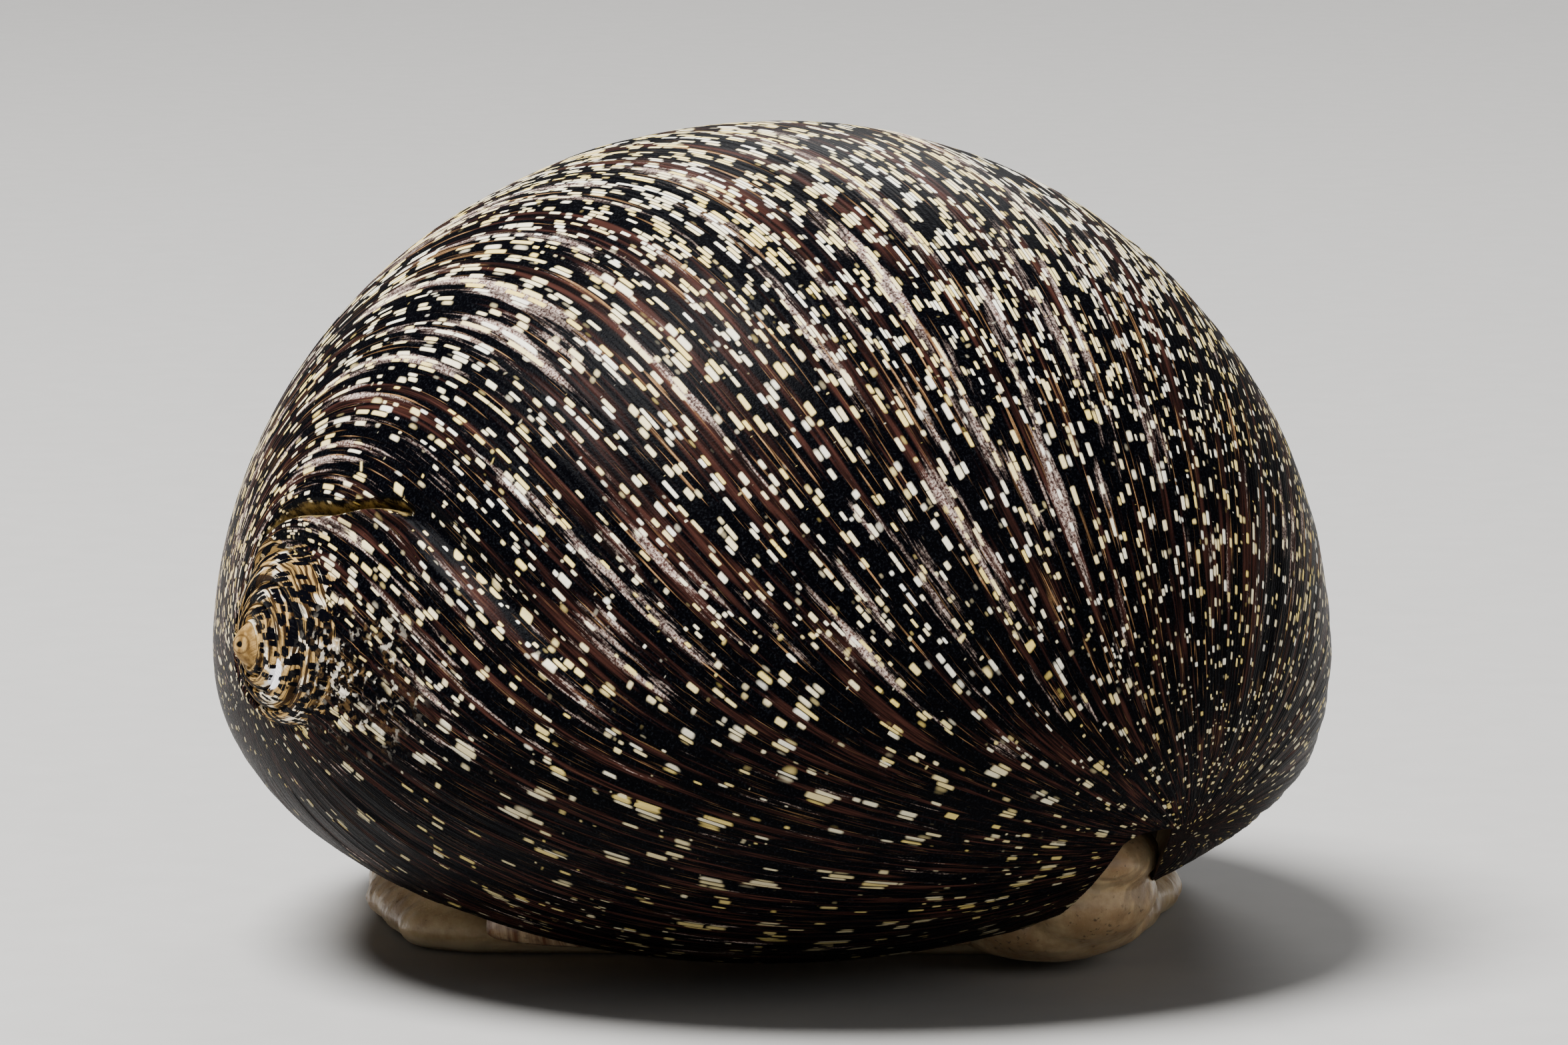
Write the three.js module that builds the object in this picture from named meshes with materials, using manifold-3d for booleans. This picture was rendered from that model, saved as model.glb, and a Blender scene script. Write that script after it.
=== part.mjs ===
// A life-size nerite snail at rest on a level floor, in millimetres, +Z up.
// +Y is the way the snail faces, and the shell's apex is at the rear, low on the -X side.
// The shell is one smooth egg whose surface is laid out round two poles: the apex, and the
// point low on the +X side where all the growth lines meet.

import * as THREE from 'three';
import { mergeVertices } from 'three/addons/utils/BufferGeometryUtils.js';
import Module from 'manifold-3d';

const wasm = await Module();
wasm.setup();

// Egg of the shell: half sizes from its centre
const shellHalfWidth = 9.85;
const shellRearLength = 9.5;
const shellFrontLength = 13.0;
const shellRise = 9.23;
const shellFall = 5.45;
const shellCentreX = -0.22;
const shellCentreZ = 5.5;
const frontDroop = 5.0;       // how far the front edge hangs below the level of the centre
const frontDeepening = 5.0;   // how much deeper the egg's lower half is towards the front
const deepeningStart = 0.15;
const deepeningLength = 0.5;
const equatorBlend = 0.22;    // softness of the change from the upper to the lower half
const crownLean = 0.1;

// Directions of the two poles, seen from the egg's centre
const apexDirection = new THREE.Vector3(-0.9233, -0.3794, 0.0601).normalize();
const convergenceDirection = new THREE.Vector3(0.7104, -0.5201, -0.4741).normalize();

// Wall, gaps and clearances
const wall = 0.9;
const gap = 0.3;
const rimClearance = 0.3;
const fleshClearance = 0.35;

// Spire, on the flattened map of the shell in which the apex is at 0
const spireCentre = new THREE.Vector2(0.09, 0.13);
const spireRadius = 0.165;
const spireBeak = 0.1;                 // the last suture runs on past the spire to a point
const spireBeakAngle = THREE.MathUtils.degToRad(14);
const spireBeakSpread = THREE.MathUtils.degToRad(22);
const spireRise = 0.25;
const apexCoilCentre = new THREE.Vector2(0.035, 0.05);
const apexCoilRadius = 0.085;
const mapScale = 12.9;                 // millimetres to one unit of the map near the apex

// Aperture, seen from below
const apertureRear = -3.4;
const apertureRearHalfWidth = 6.4;
const apertureWidening = 1.7;
const apertureWideningLength = 7.0;
const apertureCornerRadius = 2.0;
const openingTop = 4.0;
const apertureLeastHalfWidth = 0.3;
const apertureCornerSteps = 4;
const apertureSideSteps = 12;

// Arch in the front lip that the head comes out under
const archHalfWidth = 4.9;
const archRise = 2.35;
const archStart = 7.5;
const archLength = 12;
const archDrop = 0.05;        // how far the foot of the arch lies below the rim
const archSegments = 16;

// Notch beside the convergence point, with its profile seen from the rear
const notchTop = { x: 6.62, z: 2.85 };
const notchLeftFoot = { x: 3.0, z: 0.2 };
const notchLeftBend = { x: 4.6, z: 0.65 };
const notchShoulder = { x: 5.77, z: 2.6 };
const notchCrownX = 6.07;
const notchRightFoot = { x: 6.0, z: 0.2 };
const notchSkirt = 2;         // how far the passage runs on below its feet
const notchSlope = THREE.MathUtils.degToRad(8);
const notchRear = -9.0;
const notchLength = 8.5;
const notchLevelY = -3.9;     // where along the body the profile stands at its own height
const notchSegments = 5;

// Deck along the rear of the aperture, with its teeth
const deckLeft = -6.0;
const deckRight = 2.5;
const deckRear = -6.2;
const deckTop = 2.4;
const cutOverrun = 1;         // how far a cutting block runs on past what it cuts
const toothRadius = 0.26;
const toothReach = 0.25;
const toothRoot = 0.1;        // how far the middle of a tooth lies inside the deck
const toothHalfHeight = 0.4;
const toothZ = 0.85;
const toothCount = 5;
const toothPitch = 0.95;
const toothMiddleX = -1.6;

// Outer lip band
const lipTop = 3.9;
const lipStart = 2.0;

// Foot, head and feelers
const footRear = -1.85;
const footFront = 9.2;
const footTop = 2.25;
const footBevel = 0.3;
const footInset = 0.6;
const mantleBottom = 2.6;
const headCentre = { y: 11.4, z: 1.22 };
const headHalf = { x: 2.5, y: 3.3, z: 1.0 };
const headRear = 9.5;
const snoutCentre = { y: 14.7, z: 0.92 };
const snoutHalf = { x: 1.55, y: 1.35, z: 0.68 };
const snoutSplit = 14.2;
const tentacleSides = 8;
const tentacleSteps = 6;
const framesPerStep = 4;
const tentacleBaseRadius = 0.42;
const tentacleTipRadius = 0.27;
const tentacleSplit = 0.5;
const tentacleRoot = { x: 1.75, y: 14.0, z: 1.72 };
const tentacleBend = { x: 2.8, y: 15.9, z: 2.1 };
const tentacleTip = { x: 4.3, y: 18.3, z: 1.75 };
const stalkBase = { x: 2.1, y: 12.3, z: 1.75 };
const stalkTip = { x: 2.75, y: 12.95, z: 1.95 };
const stalkRadius = 0.36;
const eyeRadius = 0.3;
const eyeGap = 0.15;

// Operculum, a plate that stands behind the foot
const operculumHalfWidth = 4.6;
const operculumMiddleX = -0.6;
const operculumHeight = 1.95;
const operculumBottom = 0.4;
const operculumRear = -2.75;
const operculumThickness = 0.55;

// Fold of the mantle that shows in the notch
const foldCentre = { x: 5.5, y: -3.0, z: 1.5 };
const foldHalf = { x: 1.35, y: 1.3, z: 1.1 };

// The part's origin is in the middle of the flat sole
const soleCentreY = (footRear + footFront) / 2;

// How finely the round shapes are divided, as columns and rows
const outerRings = 32;
const outerSectors = 42;
const innerRings = 20;
const innerSectors = 24;
const headFacets = [16, 10];
const snoutFacets = [14, 8];
const foldFacets = [12, 8];
const eyeFacets = [10, 6];
const smallFacets = [8, 6];
const operculumSegments = 20;
const plugSides = 40;
const plugRise = 1.2;        // how far a plug through the shell's wall stands out of it
const mergeDistance = 1e-4;
const lastRing = 4.1;        // natural logarithm of the map radius of the last ring
const ringCrowding = 0.45;   // how much closer together the middle rings are than the last

const shellMaterial = new THREE.MeshStandardMaterial({ color: 0x23201c, roughness: 0.35, metalness: 0 });
const spireMaterial = new THREE.MeshStandardMaterial({ color: 0x8a6a3c, roughness: 0.4, metalness: 0 });
const deckMaterial = new THREE.MeshStandardMaterial({ color: 0xd9cfae, roughness: 0.3, metalness: 0 });
const operculumMaterial = new THREE.MeshStandardMaterial({ color: 0x8c6a4c, roughness: 0.4, metalness: 0 });
const fleshMaterial = new THREE.MeshStandardMaterial({ color: 0x9b8a72, roughness: 0.45, metalness: 0 });
const eyeMaterial = new THREE.MeshStandardMaterial({ color: 0x0a0908, roughness: 0.1, metalness: 0 });

function smoothStep(value) {
  const t = THREE.MathUtils.clamp(value, 0, 1);
  return t * t * (3 - 2 * t);
}

function softSign(value) {
  return value / Math.hypot(value, equatorBlend);
}

// The point of the egg in a direction, lowered under its surface by the inset
function shellPoint(direction, inset) {
  const { x, y, z } = direction;
  const front = shellFrontLength - inset;
  const rear = shellRearLength - inset;
  const rise = shellRise - inset;
  const deepening = frontDeepening * smoothStep((y - deepeningStart) / deepeningLength);
  const fall = shellFall + deepening - inset;
  const length = (front + rear) / 2 + (front - rear) / 2 * softSign(y);
  const height = (rise + fall) / 2 + (rise - fall) / 2 * softSign(z);
  return new THREE.Vector3(
    shellCentreX + (shellHalfWidth - inset) * x + crownLean * z * Math.abs(z),
    length * y,
    shellCentreZ + height * z - frontDroop * Math.max(y, 0) ** 2,
  );
}

// The map: a stereographic view from the convergence point, moved so that the apex is at 0
const mapUp = new THREE.Vector3(0, 0, 1)
  .addScaledVector(convergenceDirection, -convergenceDirection.z).normalize();
const mapSide = new THREE.Vector3().crossVectors(convergenceDirection, mapUp);

function flatten(direction) {
  const scale = 1 / (1 - direction.dot(convergenceDirection));
  return new THREE.Vector2(direction.dot(mapUp) * scale, direction.dot(mapSide) * scale);
}

const apexOnMap = flatten(apexDirection);

function directionOf(mapPoint) {
  const point = mapPoint.clone().add(apexOnMap);
  const square = point.lengthSq();
  return new THREE.Vector3()
    .addScaledVector(mapUp, 2 * point.x)
    .addScaledVector(mapSide, 2 * point.y)
    .addScaledVector(convergenceDirection, square - 1)
    .divideScalar(square + 1);
}

// The spire stands a little proud of the egg
function spireInset(mapPoint) {
  const distance = mapPoint.distanceTo(spireCentre) / spireRadius;
  return -spireRise * Math.exp(-distance * distance);
}

// Rows of points to a closed solid, with a point at each end
function closedRows(firstPoint, rows, lastPoint) {
  const count = rows[0].length;
  const positions = [firstPoint, ...rows.flat(), lastPoint].flatMap((point) => point.toArray());
  const last = rows.length * count + 1;
  const index = [];
  const at = (row, column) => 1 + row * count + (column % count);
  for (let column = 0; column < count; column += 1) {
    index.push(0, at(0, column), at(0, column + 1));
    index.push(last, at(rows.length - 1, column + 1), at(rows.length - 1, column));
    for (let row = 0; row + 1 < rows.length; row += 1) {
      index.push(at(row, column), at(row + 1, column), at(row + 1, column + 1));
      index.push(at(row, column), at(row + 1, column + 1), at(row, column + 1));
    }
  }
  const geometry = new THREE.BufferGeometry();
  geometry.setAttribute('position', new THREE.Float32BufferAttribute(positions, 3));
  geometry.setIndex(index);
  return geometry;
}

function signedVolume(geometry) {
  const { position } = geometry.attributes;
  const corner = [new THREE.Vector3(), new THREE.Vector3(), new THREE.Vector3()];
  let total = 0;
  for (let i = 0; i < geometry.index.count; i += 3) {
    corner.forEach((point, k) => point.fromBufferAttribute(position, geometry.index.getX(i + k)));
    total += corner[0].dot(corner[1].clone().cross(corner[2])) / 6;
  }
  return total;
}

// A closed geometry as a solid that can be joined and cut
function toSolid(source) {
  let geometry = source.clone();
  geometry.deleteAttribute('normal');
  geometry.deleteAttribute('uv');
  geometry = mergeVertices(geometry, mergeDistance);
  const triVerts = new Uint32Array(geometry.index.array);
  if (signedVolume(geometry) < 0) {
    for (let i = 0; i < triVerts.length; i += 3) {
      [triVerts[i], triVerts[i + 1]] = [triVerts[i + 1], triVerts[i]];
    }
  }
  const vertProperties = new Float32Array(geometry.attributes.position.array);
  return new wasm.Manifold(new wasm.Mesh({ numProp: 3, vertProperties, triVerts }));
}

function named(name, solid, material) {
  const { vertProperties, triVerts } = solid.getMesh();
  const geometry = new THREE.BufferGeometry();
  geometry.setAttribute('position', new THREE.BufferAttribute(vertProperties, 3));
  geometry.setIndex(new THREE.BufferAttribute(triVerts, 1));
  geometry.computeVertexNormals();
  const mesh = new THREE.Mesh(geometry, material);
  mesh.name = name;
  return mesh;
}

function egg(inset, ringCount, sectorCount, insetAt) {
  const rows = [];
  for (let ring = 0; ring < ringCount; ring += 1) {
    const place = 2 * ring / (ringCount - 1) - 1;
    const spread = (1 - ringCrowding) * place + ringCrowding * place ** 3;
    const radius = Math.exp(lastRing * spread);
    const row = [];
    for (let sector = 0; sector < sectorCount; sector += 1) {
      const angle = 2 * Math.PI * sector / sectorCount;
      const mapPoint = new THREE.Vector2(Math.cos(angle), Math.sin(angle)).multiplyScalar(radius);
      row.push(shellPoint(directionOf(mapPoint), inset + insetAt(mapPoint)));
    }
    rows.push(row);
  }
  const apexPoint = shellPoint(apexDirection, inset + insetAt(new THREE.Vector2()));
  return toSolid(closedRows(apexPoint, rows, shellPoint(convergenceDirection, inset)));
}

// A plug through the wall of the shell whose outline is a loop on the map
function plug(centre, radiusAt, growth) {
  const outer = -plugRise;
  const inner = wall + gap;
  const levels = [outer, inner].map((inset) => {
    const row = [];
    for (let step = 0; step < plugSides; step += 1) {
      const angle = 2 * Math.PI * step / plugSides;
      const reach = radiusAt(angle) + growth / mapScale;
      const outward = new THREE.Vector2(Math.cos(angle), Math.sin(angle)).multiplyScalar(reach);
      row.push(shellPoint(directionOf(outward.add(centre)), inset));
    }
    return row;
  });
  const middle = directionOf(centre);
  return toSolid(closedRows(shellPoint(middle, outer), levels, shellPoint(middle, inner)));
}

function spireOutline(angle) {
  let turn = angle - spireBeakAngle;
  turn = Math.atan2(Math.sin(turn), Math.cos(turn)) / spireBeakSpread;
  return spireRadius + spireBeak * Math.exp(-turn * turn);
}

function block(low, high) {
  const geometry = new THREE.BoxGeometry(high[0] - low[0], high[1] - low[1], high[2] - low[2]);
  geometry.translate((low[0] + high[0]) / 2, (low[1] + high[1]) / 2, (low[2] + high[2]) / 2);
  return toSolid(geometry);
}

const far = 40;
const above = (z) => block([-far, -far, z], [far, far, far]);
const ahead = (y) => block([-far, y, -far], [far, far, far]);
const behind = (y) => block([-far, -far, -far], [far, y, far]);

function ellipsoid(centre, half, facets) {
  const geometry = new THREE.SphereGeometry(1, ...facets);
  geometry.scale(half.x, half.y, half.z);
  geometry.translate(centre.x ?? 0, centre.y, centre.z);
  return toSolid(geometry);
}

// Half the width of the aperture at a place along the body
function apertureHalfWidth(y) {
  const widened = apertureRearHalfWidth
    + apertureWidening * smoothStep((y - apertureRear) / apertureWideningLength);
  const inside = Math.max(0, 1 - (y / (shellFrontLength - wall)) ** 2);
  return Math.min(widened, (shellHalfWidth - wall) * Math.sqrt(inside));
}

// The outline of the aperture between two places along the body, drawn in by an inset
function apertureOutline(rear, front, inset, z) {
  const corner = apertureCornerRadius - inset;
  const side = [];
  for (let step = 1; step <= apertureCornerSteps; step += 1) {
    const angle = Math.PI / 2 * step / apertureCornerSteps;
    const x = apertureHalfWidth(rear + apertureCornerRadius) - inset
      - corner * (1 - Math.sin(angle));
    side.push([x, rear + inset + corner * (1 - Math.cos(angle))]);
  }
  const start = rear + inset + corner;
  for (let step = 1; step <= apertureSideSteps; step += 1) {
    const part = Math.sin(Math.PI / 2 * step / apertureSideSteps);
    const y = start + (front - inset - start) * part;
    side.push([Math.max(apertureLeastHalfWidth, apertureHalfWidth(y) - inset), y]);
  }
  const mirrored = side.map(([x, y]) => [-x, y]).reverse();
  return [...side, ...mirrored].map(([x, y]) => new THREE.Vector3(x + shellCentreX, y, z));
}

// A slab with that outline, its edges eased by a list of levels with an inset each
function apertureSlab(rear, front, levels) {
  const rows = levels.map(({ z, inset }) => apertureOutline(rear, front, inset, z));
  const middle = (z) => new THREE.Vector3(shellCentreX, (rear + front) / 2, z);
  return toSolid(closedRows(middle(levels[0].z), rows, middle(levels[levels.length - 1].z)));
}

// The notch as a straight passage whose top falls towards the front, made narrower by a shrink
function notchPassage(shrink) {
  const shape = new THREE.Shape();
  shape.moveTo(notchLeftFoot.x + shrink, notchLeftFoot.z - notchSkirt);
  shape.lineTo(notchLeftFoot.x + shrink, notchLeftFoot.z);
  shape.quadraticCurveTo(
    notchLeftBend.x + shrink, notchLeftBend.z,
    notchShoulder.x + shrink / 2, notchShoulder.z - shrink,
  );
  shape.quadraticCurveTo(
    notchCrownX, notchTop.z - shrink,
    notchTop.x - shrink, notchTop.z - shrink,
  );
  shape.lineTo(notchRightFoot.x - shrink, notchRightFoot.z);
  shape.lineTo(notchRightFoot.x - shrink, notchRightFoot.z - notchSkirt);
  const geometry = new THREE.ExtrudeGeometry(shape, {
    depth: notchLength,
    bevelEnabled: false,
    curveSegments: notchSegments,
  });
  geometry.rotateX(Math.PI / 2);
  geometry.translate(0, notchLength, 0);
  geometry.rotateX(-notchSlope);
  const riseAtRear = (notchLevelY - notchRear) * Math.sin(notchSlope);
  geometry.translate(0, notchRear, riseAtRear);
  return toSolid(geometry);
}

function archTunnel() {
  const shape = new THREE.Shape();
  shape.absellipse(0, 0, archHalfWidth, archRise, 0, Math.PI);
  const geometry = new THREE.ExtrudeGeometry(shape, {
    depth: archLength,
    bevelEnabled: false,
    curveSegments: archSegments,
  });
  geometry.rotateX(Math.PI / 2);
  geometry.translate(0, archStart + archLength, rimClearance - archDrop);
  return toSolid(geometry);
}

// A tapered round length along a curve, between two fractions of it
function taperedLength(curve, from, to, radiusAt) {
  const frameCount = tentacleSteps * framesPerStep;
  const frames = curve.computeFrenetFrames(frameCount, false);
  const rows = [];
  for (let step = 0; step <= tentacleSteps; step += 1) {
    const place = from + (to - from) * step / tentacleSteps;
    const frame = Math.round(place * frameCount);
    const centre = curve.getPointAt(place);
    const row = [];
    for (let side = 0; side < tentacleSides; side += 1) {
      const angle = 2 * Math.PI * side / tentacleSides;
      row.push(centre.clone()
        .addScaledVector(frames.normals[frame], radiusAt(place) * Math.cos(angle))
        .addScaledVector(frames.binormals[frame], radiusAt(place) * Math.sin(angle)));
    }
    rows.push(row);
  }
  return toSolid(closedRows(curve.getPointAt(from), rows, curve.getPointAt(to)));
}

function onSide(place, side) {
  return new THREE.Vector3(side * place.x, place.y, place.z);
}

function tentacle(side, name) {
  const curve = new THREE.CatmullRomCurve3(
    [tentacleRoot, tentacleBend, tentacleTip].map((place) => onSide(place, side)),
  );
  const radiusAt = (place) => THREE.MathUtils.lerp(tentacleBaseRadius, tentacleTipRadius, place);
  const cut = gap / 2 / curve.getLength();
  return [
    named(`${name}_base`, taperedLength(curve, 0, tentacleSplit - cut, radiusAt), fleshMaterial),
    named(`${name}_tip`, taperedLength(curve, tentacleSplit + cut, 1, radiusAt), fleshMaterial),
  ];
}

function eyeStalk(side, name) {
  const curve = new THREE.LineCurve3(onSide(stalkBase, side), onSide(stalkTip, side));
  const geometry = new THREE.SphereGeometry(eyeRadius, ...eyeFacets);
  const direction = curve.getTangentAt(1);
  const centre = curve.getPointAt(1).addScaledVector(direction, eyeRadius + eyeGap);
  geometry.translate(...centre.toArray());
  return [
    named(`eye_stalk_${name}`, taperedLength(curve, 0, 1, () => stalkRadius), fleshMaterial),
    named(`eye_${name}`, toSolid(geometry), eyeMaterial),
  ];
}

// The whole wall of the shell, before it is parted into its named pieces
function shellWall() {
  const outside = egg(0, outerRings, outerSectors, spireInset).intersect(above(rimClearance));
  const inside = egg(wall, innerRings, innerSectors, () => 0);
  const opening = apertureSlab(apertureRear, shellFrontLength - wall, [
    { z: -cutOverrun, inset: 0 },
    { z: openingTop, inset: 0 },
  ]);
  return outside
    .subtract(inside)
    .subtract(opening)
    .subtract(notchPassage(0))
    .subtract(archTunnel());
}

function deckTeeth() {
  let teeth = null;
  for (let tooth = 0; tooth < toothCount; tooth += 1) {
    const offset = (tooth - (toothCount - 1) / 2) * toothPitch;
    const centre = { x: toothMiddleX + offset, y: apertureRear - toothRoot, z: toothZ };
    const half = { x: toothRadius, y: toothReach + toothRoot, z: toothHalfHeight };
    const solid = ellipsoid(centre, half, smallFacets);
    teeth = teeth ? teeth.add(solid) : solid;
  }
  return teeth;
}

function shellPieces() {
  const whole = shellWall();
  const outlineOfCoil = () => apexCoilRadius;
  const spireHole = plug(spireCentre, spireOutline, gap / 2);
  const spirePlug = plug(spireCentre, spireOutline, -gap / 2);
  const coilHole = plug(apexCoilCentre, outlineOfCoil, gap / 2);
  const coilPlug = plug(apexCoilCentre, outlineOfCoil, -gap / 2);
  const deckBlock = (grow) => block(
    [deckLeft - grow, deckRear - grow, -cutOverrun],
    [deckRight + grow, apertureRear + cutOverrun, deckTop + grow],
  );
  const lipBlock = (grow) => block(
    [-far, lipStart - grow, -cutOverrun],
    [far, far, lipTop + grow],
  );

  const body = whole.subtract(spireHole).subtract(deckBlock(gap)).subtract(lipBlock(gap));
  const penultimate = whole.intersect(spirePlug).subtract(coilHole);
  const coil = whole.intersect(coilPlug);
  const deck = whole.intersect(deckBlock(0)).add(deckTeeth()).intersect(above(rimClearance));
  const lip = whole.intersect(lipBlock(0));
  return [
    named('shell_body_whorl', body, shellMaterial),
    named('shell_penultimate_whorl', penultimate, spireMaterial),
    named('shell_apex', coil, spireMaterial),
    named('shell_columella_deck', deck, deckMaterial),
    named('shell_outer_lip', lip, shellMaterial),
  ];
}

function headPieces() {
  const head = ellipsoid(headCentre, headHalf, headFacets)
    .add(ellipsoid(snoutCentre, snoutHalf, snoutFacets))
    .intersect(ahead(headRear));
  const socketAt = (place, radius) => ellipsoid(
    place,
    new THREE.Vector3(1, 1, 1).multiplyScalar(radius + gap),
    smallFacets,
  );
  const sockets = [-1, 1].flatMap((side) => [
    socketAt(onSide(tentacleRoot, side), tentacleBaseRadius),
    socketAt(onSide(stalkBase, side), stalkRadius),
  ]);
  const socketed = sockets.reduce((solid, socket) => solid.subtract(socket), head);
  return [
    named('head', socketed.intersect(behind(snoutSplit - gap / 2)), fleshMaterial),
    named('snout', socketed.intersect(ahead(snoutSplit + gap / 2)), fleshMaterial),
  ];
}

function fleshPieces() {
  const mantle = egg(wall + fleshClearance, innerRings, innerSectors, () => 0)
    .intersect(above(mantleBottom));
  const foot = apertureSlab(footRear, footFront, [
    { z: 0, inset: footInset + footBevel / 2 },
    { z: footBevel, inset: footInset },
    { z: footTop - footBevel, inset: footInset },
    { z: footTop, inset: footInset + footBevel },
  ]);
  const fold = ellipsoid(foldCentre, foldHalf, foldFacets)
    .intersect(notchPassage(gap))
    .intersect(above(rimClearance))
    .intersect(behind(footRear - gap));
  const plate = new THREE.ExtrudeGeometry(
    new THREE.Shape().absellipse(0, 0, operculumHalfWidth, operculumHeight, 0, Math.PI),
    { depth: operculumThickness, bevelEnabled: false, curveSegments: operculumSegments },
  );
  plate.rotateX(Math.PI / 2);
  plate.translate(operculumMiddleX, operculumRear + operculumThickness, operculumBottom);
  return [
    named('operculum', toSolid(plate), operculumMaterial),
    named('mantle', mantle, fleshMaterial),
    named('foot', foot, fleshMaterial),
    named('mantle_fold', fold, fleshMaterial),
  ];
}

const snail = new THREE.Group();
snail.add(
  ...shellPieces(),
  ...fleshPieces(),
  ...headPieces(),
  ...tentacle(-1, 'tentacle_left'),
  ...tentacle(1, 'tentacle_right'),
  ...eyeStalk(-1, 'left'),
  ...eyeStalk(1, 'right'),
);
snail.position.y = -soleCentreY;

export default snail;
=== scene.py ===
"""A nerite snail at rest on a pale floor: its flecked shell, its deck and operculum, one skin of
flesh, and its eyes. Shapes are worked out in millimetres in the snail's own frame, +Z up, and +Y
the way it faces, and are written to meshes in metres."""

import math

import bmesh
import bpy
import numpy as np
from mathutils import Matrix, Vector, noise


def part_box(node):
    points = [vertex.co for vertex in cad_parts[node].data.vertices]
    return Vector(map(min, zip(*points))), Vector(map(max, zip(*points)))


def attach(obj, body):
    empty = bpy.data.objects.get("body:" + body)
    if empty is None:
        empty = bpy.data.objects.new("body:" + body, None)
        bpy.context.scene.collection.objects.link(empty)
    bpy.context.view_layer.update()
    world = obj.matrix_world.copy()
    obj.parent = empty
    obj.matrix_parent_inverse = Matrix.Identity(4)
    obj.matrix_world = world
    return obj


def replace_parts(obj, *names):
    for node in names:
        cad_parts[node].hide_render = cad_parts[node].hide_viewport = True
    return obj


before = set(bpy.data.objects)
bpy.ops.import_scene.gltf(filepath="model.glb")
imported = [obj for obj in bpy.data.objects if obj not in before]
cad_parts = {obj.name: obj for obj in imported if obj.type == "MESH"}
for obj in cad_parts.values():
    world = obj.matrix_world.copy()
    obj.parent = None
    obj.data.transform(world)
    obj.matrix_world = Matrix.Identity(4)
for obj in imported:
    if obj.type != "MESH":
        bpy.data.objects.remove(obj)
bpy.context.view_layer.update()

MM = 0.001
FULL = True
TINY = 1e-12                # keeps divisions and logarithms away from zero

# Egg of the shell: half sizes from its centre, in mm
HALF_WIDTH = 9.85
REAR_LENGTH = 9.5
FRONT_LENGTH = 13.0
RISE = 9.23
FALL = 5.45
CENTRE_X = -0.22
CENTRE_Z = 5.5
FRONT_DROOP = 5.0
FRONT_DEEPENING = 5.0
DEEPENING_START = 0.15
DEEPENING_LENGTH = 0.5
EQUATOR_BLEND = 0.22
CROWN_LEAN = 0.1
SWELL = 0.4                 # of the lower right side
SWELL_PLACE = (-0.05, -0.5)
SWELL_SIZE = (0.5, 0.28)
SOLE_MIDDLE_Y = 3.675       # how far the middle of the sole lies in front of the egg's centre
WALL = 0.9
RIM_CLEARANCE = 0.3

APEX = np.array([-0.9233, -0.3794, 0.0601])
CONVERGENCE = np.array([0.7104, -0.5201, -0.4741])
APEX = APEX / np.linalg.norm(APEX)
CONVERGENCE = CONVERGENCE / np.linalg.norm(CONVERGENCE)
POLE = (6.9, -8.6, 2.9)     # where the growth lines meet, in mm

# Meshes: how finely each surface is divided
MAP_SPAN = (-5.2, 4.6)      # logarithms of the first and last radius on the map
MAP_SAMPLES = 1400
CROWDING_START = -0.6
CROWDING_LENGTH = 0.6
LEAST_STEP = 0.001
SHELL_RINGS = 560 if FULL else 330
SHELL_SECTORS = 680 if FULL else 400
SHELL_PROBES = 48
INNER_PROBES = 32
MANTLE_GRID = (60, 90)
FLESH_VOXEL = 0.09 if FULL else 0.15
DECK_VOXEL = 0.08
FLESH_PASSES = 5            # of smoothing
DECK_PASSES = 4
NUDGE = 1e-3                # the step on the map that finds the way out of the egg

# Growth lines: how far each one swings round between the apex and the convergence point
SWING = math.radians(131.3)
SWING_LENGTH = 1.075
SWING_MIDDLE = -0.851
SWING_SKEW = 1.007
SWING_SKEW_ANGLE = 1.408

# Spire, on the flattened map of the shell in which the apex is at 0
SPIRE_CENTRE = 0.09 + 0.13j
SPIRE_RADIUS = 0.165
SPIRE_BEAK = 0.1
SPIRE_BEAK_ANGLE = math.radians(14)
SPIRE_BEAK_SPREAD = math.radians(22)
SPIRE_RISE = 0.25
MAP_SCALE = 12.9            # millimetres to one unit of the map near the apex

# Rings of the first whorls, on the same map: they widen from the first whorl to a round disc
FIRST_WHORL = 0.011 + 0.02j
DISC_CENTRE = 0.054 + 0.106j
DISC_RADIUS = 0.143
RING_START = math.radians(70)
COIL_SHRINK = 0.66          # one turn inwards makes the coil this much smaller
MESS_PLACE = 0.11 + 0.28j   # where the lines round the spire part from those of the body
MESS_SIZE = 0.1
APEX_DOT = 0.021 + 0.036j   # the dark pit where the first whorl begins

# Growth lines come round the spire between two points of the straightened map
LINES_TURN_NEAR = 0.0355 + 0.0516j
LINES_TURN_FAR = -0.1771 - 0.0002j
LEAST_RATE = 1e-6

# Relief, in mm. A span gives the places where a feature starts, is whole, fades and ends.
CREVICE_SPAN = (-95, -65, 4, 13)            # in degrees round the spire
CREVICE_DEPTH = 0.3
CREVICE_WIDTH = 0.12
# how far the crevice's dark olive, dirt with painted shade, spreads, in mm
CREVICE_DIRT_AND_SHADE_WIDTH = 0.16
OVERHANG = 0.16
OVERHANG_SPAN = (-0.7, -0.1, -0.1, 0.0)     # in mm outside the spire
SEAM_DEPTH = 0.03
SEAM_GAP = 35                               # degrees; the seam fades out at this angle
COIL_SPAN = (0.026, 0.036, 0.97 * DISC_RADIUS - 0.01, 0.97 * DISC_RADIUS)
COIL_GROOVE = 0.07
GROOVE_WIDTH = 0.075
COIL_SWELL = 0.03
COIL_SWELL_WIDTH = 0.4
CAP_RADIUS = 0.03
CAP_RISE = 0.2
CAP_FULLNESS = 0.75
DOT_DEPTH = 0.04
DOT_SIZE = 0.005
MARK_SPAN = (-1.0, -0.8, -0.75, 0.15)
REST_MARKS = ((-0.2, -46, 2.2), (0.1, -41.5, 2.0))              # rise, angle and width
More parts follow.
